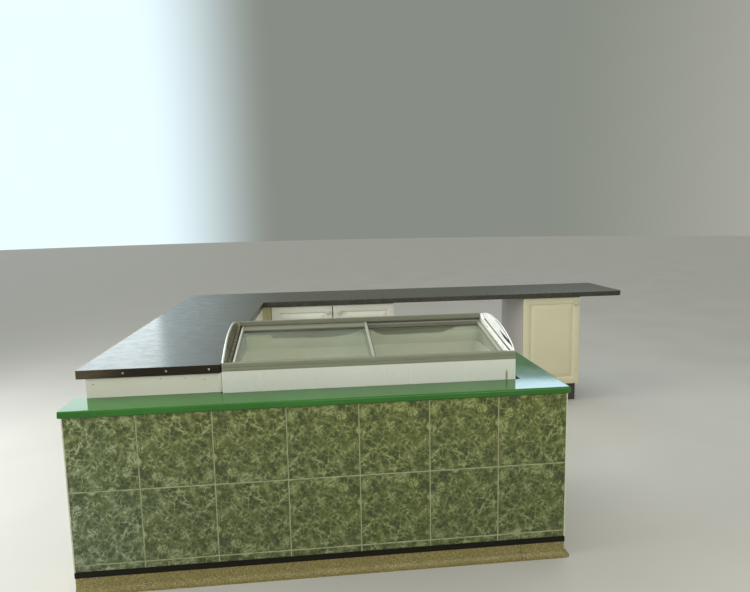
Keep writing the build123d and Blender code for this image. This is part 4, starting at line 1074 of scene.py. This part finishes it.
# the rear rail in the darker copy of the profile: painted shade on its top
make(s, "rear_rail_profile", [M["rail_rear"], M["pale_seal"]], replaces=("freezer_rear_rail",), angle=45)

# rime on the inner face of the rear rail, up to a wavy line that the photograph shows through the lids
RIME = ((700, 957), (824, 956), (832, 938), (839, 936.5), (963, 934.1), (1059, 932.1), (1125, 933.1), (1184, 936.9),
        (1226, 943.6), (1256, 953.2), (1291, 963.8), (1308, 966.6), (1326, 965.7), (1346, 957.1), (1371, 941.7), (1400, 934.1),
        (1435, 931.2), (1505, 930.7), (1576, 932.6), (1652, 932.4), (1708, 935), (1748, 947.5), (1790, 960.9), (1831, 972.4),
        (1863, 980.1), (1898, 961))


def rime_top(x):
    for (xa, za), (xb, zb) in zip(RIME, RIME[1:]):
        if x <= xb:
            f = (x - xa) / (xb - xa)
            f = f * f * (3 - 2 * f) * 0.5 + f * 0.5
            return za + (zb - za) * f
    return RIME[-1][1]


s = Shape()
rings = []
for k in range(121):
    x = 700.0 + (1898.0 - 700.0) * k / 120
    top = min(rime_top(x) + 0.5 * math.sin(x * 0.11) + 0.4 * math.sin(x * 0.043 + 1.0), lid_z(CAV_Y1, DROP + LID_T + LID_GAP) - 0.5)
    swell = 1.5 + 0.5 * math.sin(x * 0.021 + 0.6)
    rings.append([(x, CAV_Y1 + 0.4, FZ_TOP + 0.3), (x, CAV_Y1 - 1.0, FZ_TOP + 0.3), (x, CAV_Y1 - swell, 890.0), (x, CAV_Y1 - swell, (FZ_TOP + top) / 2),
                  (x, CAV_Y1 - swell * 0.8, top - 2.0), (x, CAV_Y1 - 0.5, top - 0.3), (x, CAV_Y1 + 0.4, top)])
s.loft(rings)
make(s, "rear_rail_rime", [M["frost"]])

# end caps: a narrow rim with the full arch, a face that slopes down from it, a straight trim bar
# beside the lids, and the ledge under them
ARCH = [(166, 922), (186, 939), (222, 957), (271, 978), (335, 999), (399, 1013), (470, 1023),
        (540, 1027.9), (600, 1026.3), (650, 1019.8), (700, 1008), (760, 988), (800, 972), (834, 956)]
TRIM = [(166.0, 917.0), (580.0, lid_z(580, -7)), (603.0, 1012.0), (622.0, 1021.0), (645.0, 1018.0), (700.0, 1004.0),
        (760.0, 984.0), (800.0, 968.0), (834.0, 952.0)]


def along(points, y):
    """Height over depth y on a line of (y, z) points."""
    if y <= points[0][0]:
        return points[0][1]
    for (ya, za), (yb, zb) in zip(points, points[1:]):
        if y <= yb:
            return za + (zb - za) * (y - ya) / (yb - ya)
    return points[-1][1]


def catmull(points, per=5):
    pts = [Vector(p) for p in points]
    pts = [pts[0] * 2 - pts[1]] + pts + [pts[-1] * 2 - pts[-2]]
    out = []
    for i in range(1, len(pts) - 2):
        p0, q0, q1, p1 = pts[i - 1], pts[i], pts[i + 1], pts[i + 2]
        for k in range(per):
            t = k / per
            out.append(0.5 * ((2 * q0) + (q1 - p0) * t + (2 * p0 - 5 * q0 + 4 * q1 - p1) * t * t
                              + (3 * q0 - p0 - 3 * q1 + p1) * t ** 3))
    out.append(pts[-2])
    return out


def cap(name, outer, inner, ledge_end, node, face, bar, screws, groove):
    s = Shape()
    way = 1 if outer > inner else -1           # from the inner face to the outer one
    plane = inner + way * TRIM_T               # where the sloping face meets the trim bar
    arch = catmull(ARCH)
    line = [Vector((166, FZ_TOP)), Vector((166, 897)), Vector((166, 910))] + arch + [Vector((834, 940)), Vector((834, 915)), Vector((834, FZ_TOP))]
    normals = []
    for i, p in enumerate(line):
        a, b = line[max(i - 1, 0)], line[min(i + 1, len(line) - 1)]
        d = (b - a).normalized()
        normals.append(Vector((-d.y, d.x)) * -1)   # inward

    def ring(u, d):
        return [(plane + way * u, q.x, max(q.y, FZ_TOP)) for q in (p + n * d for p, n in zip(line, normals))]

    # u from that plane, then how far inside the arch
    sections = [(14.6, 6.6), (15.6, 6.4), (16.1, 5.2), (16.4, 2.6), (17.0, 1.1), (18.0, 0.25), (19.4, 0.0), (20.8, 0.3),
                (22.0, 1.2), (22.8, 2.6), (23.0, 4.4)]
    rings = [ring(u, d) for u, d in sections]
    n = len(line)
    verts = [p for r in rings for p in r]
    faces = []
    mats = []
    for i in range(len(rings) - 1):
        for j in range(n - 1):
            faces.append([i * n + j, i * n + j + 1, (i + 1) * n + j + 1, (i + 1) * n + j])
            mats.append(0)
    faces.append([(len(rings) - 1) * n + j for j in range(n)])
    mats.append(0)
    # the sloping face, then the wall behind the trim bar down to the cabinet
    first = rings[0]
    j0, j1 = 3, n - 4
    rows = 8
    grid = {}
    cols = list(range(j0, j1 + 1))
    for c, j in enumerate(cols):
        x, y, z = first[j]
        foot = min(z - 0.5, along(TRIM, y) - 2.4)
        grid[(c, 0)] = j
        for r in range(1, rows + 1):
            f = r / rows
            sag = math.sin(math.pi * f) * min(1.5, (z - foot) * 0.05)
            grid[(c, r)] = len(verts)
            verts.append((x + (plane - x) * f, y, z + (foot - z) * f - sag))
        grid[(c, rows + 1)] = len(verts)
        verts.append((plane, y, FZ_TOP))
    for c in range(len(cols) - 1):
        for r in range(rows + 1):
            faces.append([grid[(c, r)], grid[(c + 1, r)], grid[(c + 1, r + 1)], grid[(c, r + 1)]])
            mats.append(1)
    for c, js in ((0, range(0, j0)), (len(cols) - 1, range(n - 1, j1, -1))):
        faces.append([j for j in js] + [grid[(c, r)] for r in range(rows + 2)])
        mats.append(1)
    # foot
    faces.append([i * n for i in range(len(rings) - 1, -1, -1)] + [grid[(c, rows + 1)] for c in range(len(cols))]
                 + [i * n + n - 1 for i in range(len(rings))])
    mats.append(1)
    for f, mt in zip(faces, mats):
        s.f.append(f)
        s.m.append(mt)
        s.local.append(None)
    s.v.extend(verts)

    # straight trim bar, its front end rounded over
    stations = [166.0, 166.6, 168.0, 170.5, 174.0, 179.0]
    stations += [185.0 + (575.0 - 185.0) * i / 16 for i in range(17)]
    stations += [580.0, 585.0, 591.0, 597.0, 603.0, 608.0, 613.0, 618.0, 622.0, 628.0, 636.0, 645.0, 660.0, 680.0, 700.0, 730.0, 760.0,
                 780.0, 800.0, 818.0, 834.0]
    lo, hi = sorted((plane - way * 0.5, inner))
    trim = []
    for y in stations:
        z = along(TRIM, y)
        ease = max(0.0, (176.0 - y) / 10.0)
        z -= 9.0 * ease * ease
        prof = rounded([(lo, z), (hi, z), (hi, FZ_TOP), (lo, FZ_TOP)], [3.4, 3.4, 0.0, 0.0], 5)
        trim.append([(x, y, zz) for x, zz in prof])
    s.loft(trim, 4)
    # the joint between the bar and the face, along the foot of the face, a dark grey strip of painted shade
    joint = []
    for y in stations[5:24]:
        z = along(TRIM, y) - 2.6
        top = next(a.y + (b.y - a.y) * (y - a.x) / (b.x - a.x) for a, b in zip(arch, arch[1:]) if a.x <= y <= b.x) - 6.6
        rise = min(5.0, max(0.6, (top - z) * 0.3))
        out = 14.6 * rise / max(top - z, 1.0)
        pts = [(plane - way * 1.0, z), (plane + way * 0.8, z), (plane + way * (0.8 + out), z + rise), (plane - way * (0.9 - out), z + rise)]
        joint.append([(x, y, zz) for x, zz in (pts if way > 0 else pts[::-1])])
    s.loft(joint, 5)
    if groove:
        # dark strip of painted shade in the groove between the face and the rim, wider at its middle
        cut = []
        for i in range(25):
            y = groove[0] + (groove[1] - groove[0]) * i / 24
            z = next(a.y + (b.y - a.y) * (y - a.x) / (b.x - a.x) for a, b in zip(arch, arch[1:]) if a.x <= y <= b.x) - 6.2
            foot = min(z - 0.5, along(TRIM, y) - 2.4)
            w = 0.4 + groove[2] * math.sin(math.pi * (i / 24) ** 0.8)
            x0, x1 = sorted((plane + way * (15.4 - w), plane + way * 15.6))
            fall = (z - foot) * w / 14.6
            zin, zout = (z - fall, z) if way > 0 else (z, z - fall)
            cut.append([(x0, y, zin - 2.0), (x1, y, zout - 2.0), (x1, y, zout + 0.9), (x0, y, zin + 0.9)])
        s.loft(cut, 3)
    side = sorted((inner, ledge_end))
    shelf = []
    for i in range(29):
        y = CAV_Y0 + (CAV_Y1 - CAV_Y0) * i / 28
        z = lid_z(y, DROP + LID_T + LID_GAP)
        shelf.append([(side[0], y, FZ_TOP), (side[1], y, FZ_TOP), (side[1], y, z), (side[0], y, z)])
    s.loft(shelf, 2)
    for x, y, z, tilt in screws:
        s.disc((x, y, z), (tilt, 0, 1), [(3.0, -0.8), (3.0, 0.4), (2.2, 0.8), (1.0, 0.5), (0.0, 0.4)], 18, 3)
    return make(s, name, [M["cap"], face, M["rail"], M["seam"], bar, M["cap_joint"]], replaces=(node,), angle=38)


def on_slope(plane, way, u, y):
    """A point of the sloping face, u out from the trim bar."""
    arch = catmull(ARCH)
    z = next(a.y + (b.y - a.y) * (y - a.x) / (b.x - a.x) for a, b in zip(arch, arch[1:]) if a.x <= y <= b.x)
    top, foot = z - 6.6, along(TRIM, y) - 2.4
    return (plane + way * u, y, foot + (top - foot) * u / 14.6)


# the left cap's face and trim bar take the painted shade and reflection
cap("left_end_cap", FZ_X0, FZ_X0 + CAP_T, CAV_X0, "freezer_left_cap", M["cap_dull"], M["cap_dull"],
    [(*on_slope(660.0, -1, 11.0, 566.0), 2.4)], None)
cap("right_end_cap", FZ_X1, FZ_X1 - CAP_T, CAV_X1, "freezer_right_cap", M["cap_pale"], M["trim"],
    [(*on_slope(1935.0, 1, 10.0, 572.0), -2.4), (*on_slope(1935.0, 1, 3.4, 590.0), -2.4)], (186.0, 440.0, 7.0))


# lids: bars round the pane, with a dark seal between
def lid(name, node, body, x0, x1, y0, y1, drop, bars, bright, wiper, rear_in_shade):
    left, right, fore, rear = bars
    s = Shape()

    def curved(xa, xb, ya, yb, top, bottom, r, mat, steps=28):
        prof = rounded([(xa, top), (xb, top), (xb, bottom), (xa, bottom)], [r, r, r, r], 3)
        rings = []
        for i in range(steps + 1):
            y = ya + (yb - ya) * i / steps
            rings.append([(x, y, lid_z(y, drop) + h) for x, h in prof])
        s.loft(rings, mat)

    def straight(ya, yb, top, bottom, r, mat):
        za, zb = lid_z(ya, drop), lid_z(yb, drop)
        ym = (ya + yb) / 2
        pts = [(ya, za + top), (ym, lid_z(ym, drop) + top), (yb, zb + top), (yb, zb + bottom), (ya, za + bottom)]
        s.prism_x(rounded(pts, [r, 0.0, r, r, r], 3), x0 + left, x1 - right, mat)

    curved(x0, x0 + left, y0, y1, 0.0, -LID_T, 1.8, bright[0])
    # the right side bar takes bright[1], the paler copy of the profile: painted light
    if wiper:
        curved(x1 - right, x1 - 2.2, y0, y1, 0.0, -LID_T, 1.8, bright[1])
        curved(x1 - 2.4, x1, y0 + 1.0, y1 - 1.0, -1.2, -LID_T, 0.5, 2)
    else:
        curved(x1 - right, x1, y0, y1, 0.0, -LID_T, 1.8, bright[1])
    straight(y0, y0 + fore, 0.0, -LID_T, 2.0, 0)
    # rear bar in a darker copy of the profile: painted shade
    straight(y1 - rear, y1, 0.0, -LID_T, 2.0, 5 if rear_in_shade else 6)
    # seal
    g0, g1 = y0 + fore, y1 - rear
    curved(x0 + left, x0 + left + 2.6, g0, g1, -1.6, -8.4, 0.6, 7)
    curved(x1 - right - 2.6, x1 - right, g0, g1, -1.6, -8.4, 0.6, 7)
    for ya, yb, mat in ((g0, g0 + 2.6, 2), (g1 - 2.6, g1, 4)):
        prof = rounded([(ya, lid_z(ya, drop) - 1.6), (yb, lid_z(yb, drop) - 1.6), (yb, lid_z(yb, drop) - 8.4), (ya, lid_z(ya, drop) - 8.4)], [0.6] * 4, 2)
        s.prism_x(prof, x0 + left + 2.6, x1 - right - 2.6, mat)
    make(s, name, [M["rail"], M["cap"], M["gasket"], M["rail_light"], M["soft_seal"], M["rail_dark"], M["rail_rear"], M["pale_seal"]], body,
         replaces=(node,), angle=45)


def pane(name, node, body, x0, x1, y0, y1, drop):
    """A sheet of glass bent to the lids' arc, with ground edges."""
    s = Shape()
    prof = rounded([(x0, -5.5), (x1, -5.5), (x1, -9.5), (x0, -9.5)], [0.8] * 4, 2)
    rings = []
    for i in range(41):
        y = y0 + (y1 - y0) * i / 40
        pinch = 0.7 if i in (0, 40) else 0.0
        rings.append([(x + (pinch if x < (x0 + x1) / 2 else -pinch), y, lid_z(y, drop) + h * (1 - pinch * 0.04) - pinch * 0.3) for x, h in prof])
    s.loft(rings)
    make(s, name, [M["glass"]], body, replaces=(node,), angle=60)


lid("left_lid_bars", "left_lid_frame", "left_lid", 680.0, 1318.0, *UPPER_Y, 0.0, (10.0, 14.0, 12.0, 78.0), (1, 3), True, False)
lid("right_lid_bars", "right_lid_frame", "right_lid", 1290.0, 1915.0, *LOWER_Y, DROP, (14.0, 14.0, 12.0, 16.0), (0, 3), False, True)
pane("left_lid_glass", "left_lid_pane", "left_lid", 690.0, 1304.0, 196.0, 560.0, 0.0)
pane("right_lid_glass", "right_lid_pane", "right_lid", 1304.0, 1901.0, 224.0, 590.0, DROP)

# sealant in the corner between the upstand and the cabinet
s = Shape()
s.box(633.6, 637.6, 159.5, 172.0, 789.2, 875.4, r=1.2)
make(s, "corner_sealant", [M["sealant"]])

# louvred panel over the machinery, on the freezer's back
s = Shape()
s.box(668.0, 962.0, 833.6, 835.4, 72.0, 330.0, r=0.6)
for i in range(11):
    z = 92.0 + 20.5 * i
    s.prism_x(rounded([(835.0, z), (835.0, z + 12.0), (838.2, z + 1.6), (838.2, z)], [0, 0.4, 0.6, 0.5], 2), 690.0, 940.0)
    # dark strip of painted shade behind each gap between the louvres
    s.box(692.0, 938.0, 835.2, 835.9, z + 12.4, z + 15.2, mat=1)
for x, z in ((676.0, 80.0), (954.0, 80.0), (676.0, 322.0), (954.0, 322.0)):
    screw(s, (x, 835.2, z), (0, 1, 0), 3.4, 2, 1)
make(s, "freezer_rear_louvres", [M["freezer"], M["seam"], M["steel"]])

# ---------------------------------------------------------------------------
# floor, light
# ---------------------------------------------------------------------------
me = bpy.data.meshes.new("floor")
ring = [(40 * math.cos(2 * math.pi * k / 96), 40 * math.sin(2 * math.pi * k / 96), 0.0) for k in range(96)]
me.from_pydata(ring, [], [list(range(96))])
floor = bpy.data.objects.new("floor", me)
bpy.context.scene.collection.objects.link(floor)
m = Mat("pale_floor", IOR=1.4)
c = m.noise(m.pos, 1.2, 4, 0.5)
m.set("Base Color", m.ramp(c, [(0.3, (0.50, 0.495, 0.465)), (0.7, (0.54, 0.535, 0.505))]))
m.set("Roughness", m.span(c, 0.3, 0.7, 0.6, 0.75))
me.materials.append(m.mat)

world = bpy.data.worlds.new("soft_room")
bpy.context.scene.world = world
world.use_nodes = True
wt = world.node_tree
wt.nodes.clear()
wo = wt.nodes.new("ShaderNodeOutputWorld")
bg = wt.nodes.new("ShaderNodeBackground")
sep = wt.nodes.new("ShaderNodeSeparateXYZ")
wt.links.new(wt.nodes.new("ShaderNodeTexCoord").outputs["Generated"], sep.inputs[0])


def band(axis, lo, hi):
    n = wt.nodes.new("ShaderNodeMapRange")
    n.interpolation_type = "SMOOTHSTEP"
    for k, v in (("From Min", lo), ("From Max", hi), ("To Min", 0.0), ("To Max", 1.0)):
        n.inputs[k].default_value = v
    wt.links.new(sep.outputs[axis], n.inputs["Value"])
    return n.outputs["Result"]


def blend(fac, a, b):
    n = wt.nodes.new("ShaderNodeMix")
    n.data_type = "RGBA"
    wt.links.new(fac, n.inputs[0])
    for i, c in ((6, a), (7, b)):
        if isinstance(c, tuple):
            n.inputs[i].default_value = (*c, 1)
        else:
            wt.links.new(c, n.inputs[i])
    return n.outputs[2]


# back wall, window side, the customer's side, and overhead
sky = blend(band(0, -0.05, -0.25), (0.25, 0.27, 0.235), (0.86, 1.03, 1.10))
sky = blend(band(1, 0.25, -0.25), sky, (0.76, 0.75, 0.69))
sky = blend(band(0, 0.35, 0.85), sky, (0.50, 0.49, 0.42))
sky = blend(band(2, 0.35, 0.90), sky, (0.56, 0.56, 0.51))
wt.links.new(sky, bg.inputs["Color"])
bg.inputs["Strength"].default_value = 1.0
wt.links.new(bg.outputs[0], wo.inputs[0])


def area(name, loc, target, size, power, colour=(1, 1, 1)):
    data = bpy.data.lights.new(name, "AREA")
    data.shape = "RECTANGLE"
    data.size, data.size_y = size
    data.energy = power
    data.color = colour
    ob = bpy.data.objects.new(name, data)
    bpy.context.scene.collection.objects.link(ob)
    ob.location = loc
    ob.rotation_mode = "QUATERNION"
    ob.rotation_quaternion = (Vector(target) - Vector(loc)).to_track_quat("-Z", "Y")
    return ob


area("window_side", (-4.6, -0.6, 2.1), (-0.4, -0.4, 0.7), (3.6, 2.4), 170, (0.97, 0.99, 1.0))
area("ceiling_left", (-0.9, 0.2, 3.3), (-0.9, 0.2, 0.0), (2.4, 1.6), 14, (1.0, 0.99, 0.93))
area("ceiling_right", (1.4, 0.4, 3.3), (1.4, 0.4, 0.0), (2.4, 1.6), 14, (1.0, 0.99, 0.93))
area("front_fill", (0.8, -5.5, 3.0), (-0.4, -0.8, 0.6), (3.5, 2.5), 95, (1.0, 0.985, 0.92))

# the bright openings that the ledge and the worktops mirror
for glow in (area("glow_right", (1.80, 2.05, 2.00), (1.30, -1.0, 0.79), (1.1, 0.5), 8, (0.62, 0.81, 1.0)),
             area("glow_left", (-2.15, 0.35, 1.75), (-1.0, 0.35, 1.75), (3.1, 1.6), 26, (0.88, 0.97, 1.0))):
    glow.visible_camera = False

bpy.context.scene.view_settings.view_transform = "Standard"
bpy.context.scene.view_settings.look = "None"
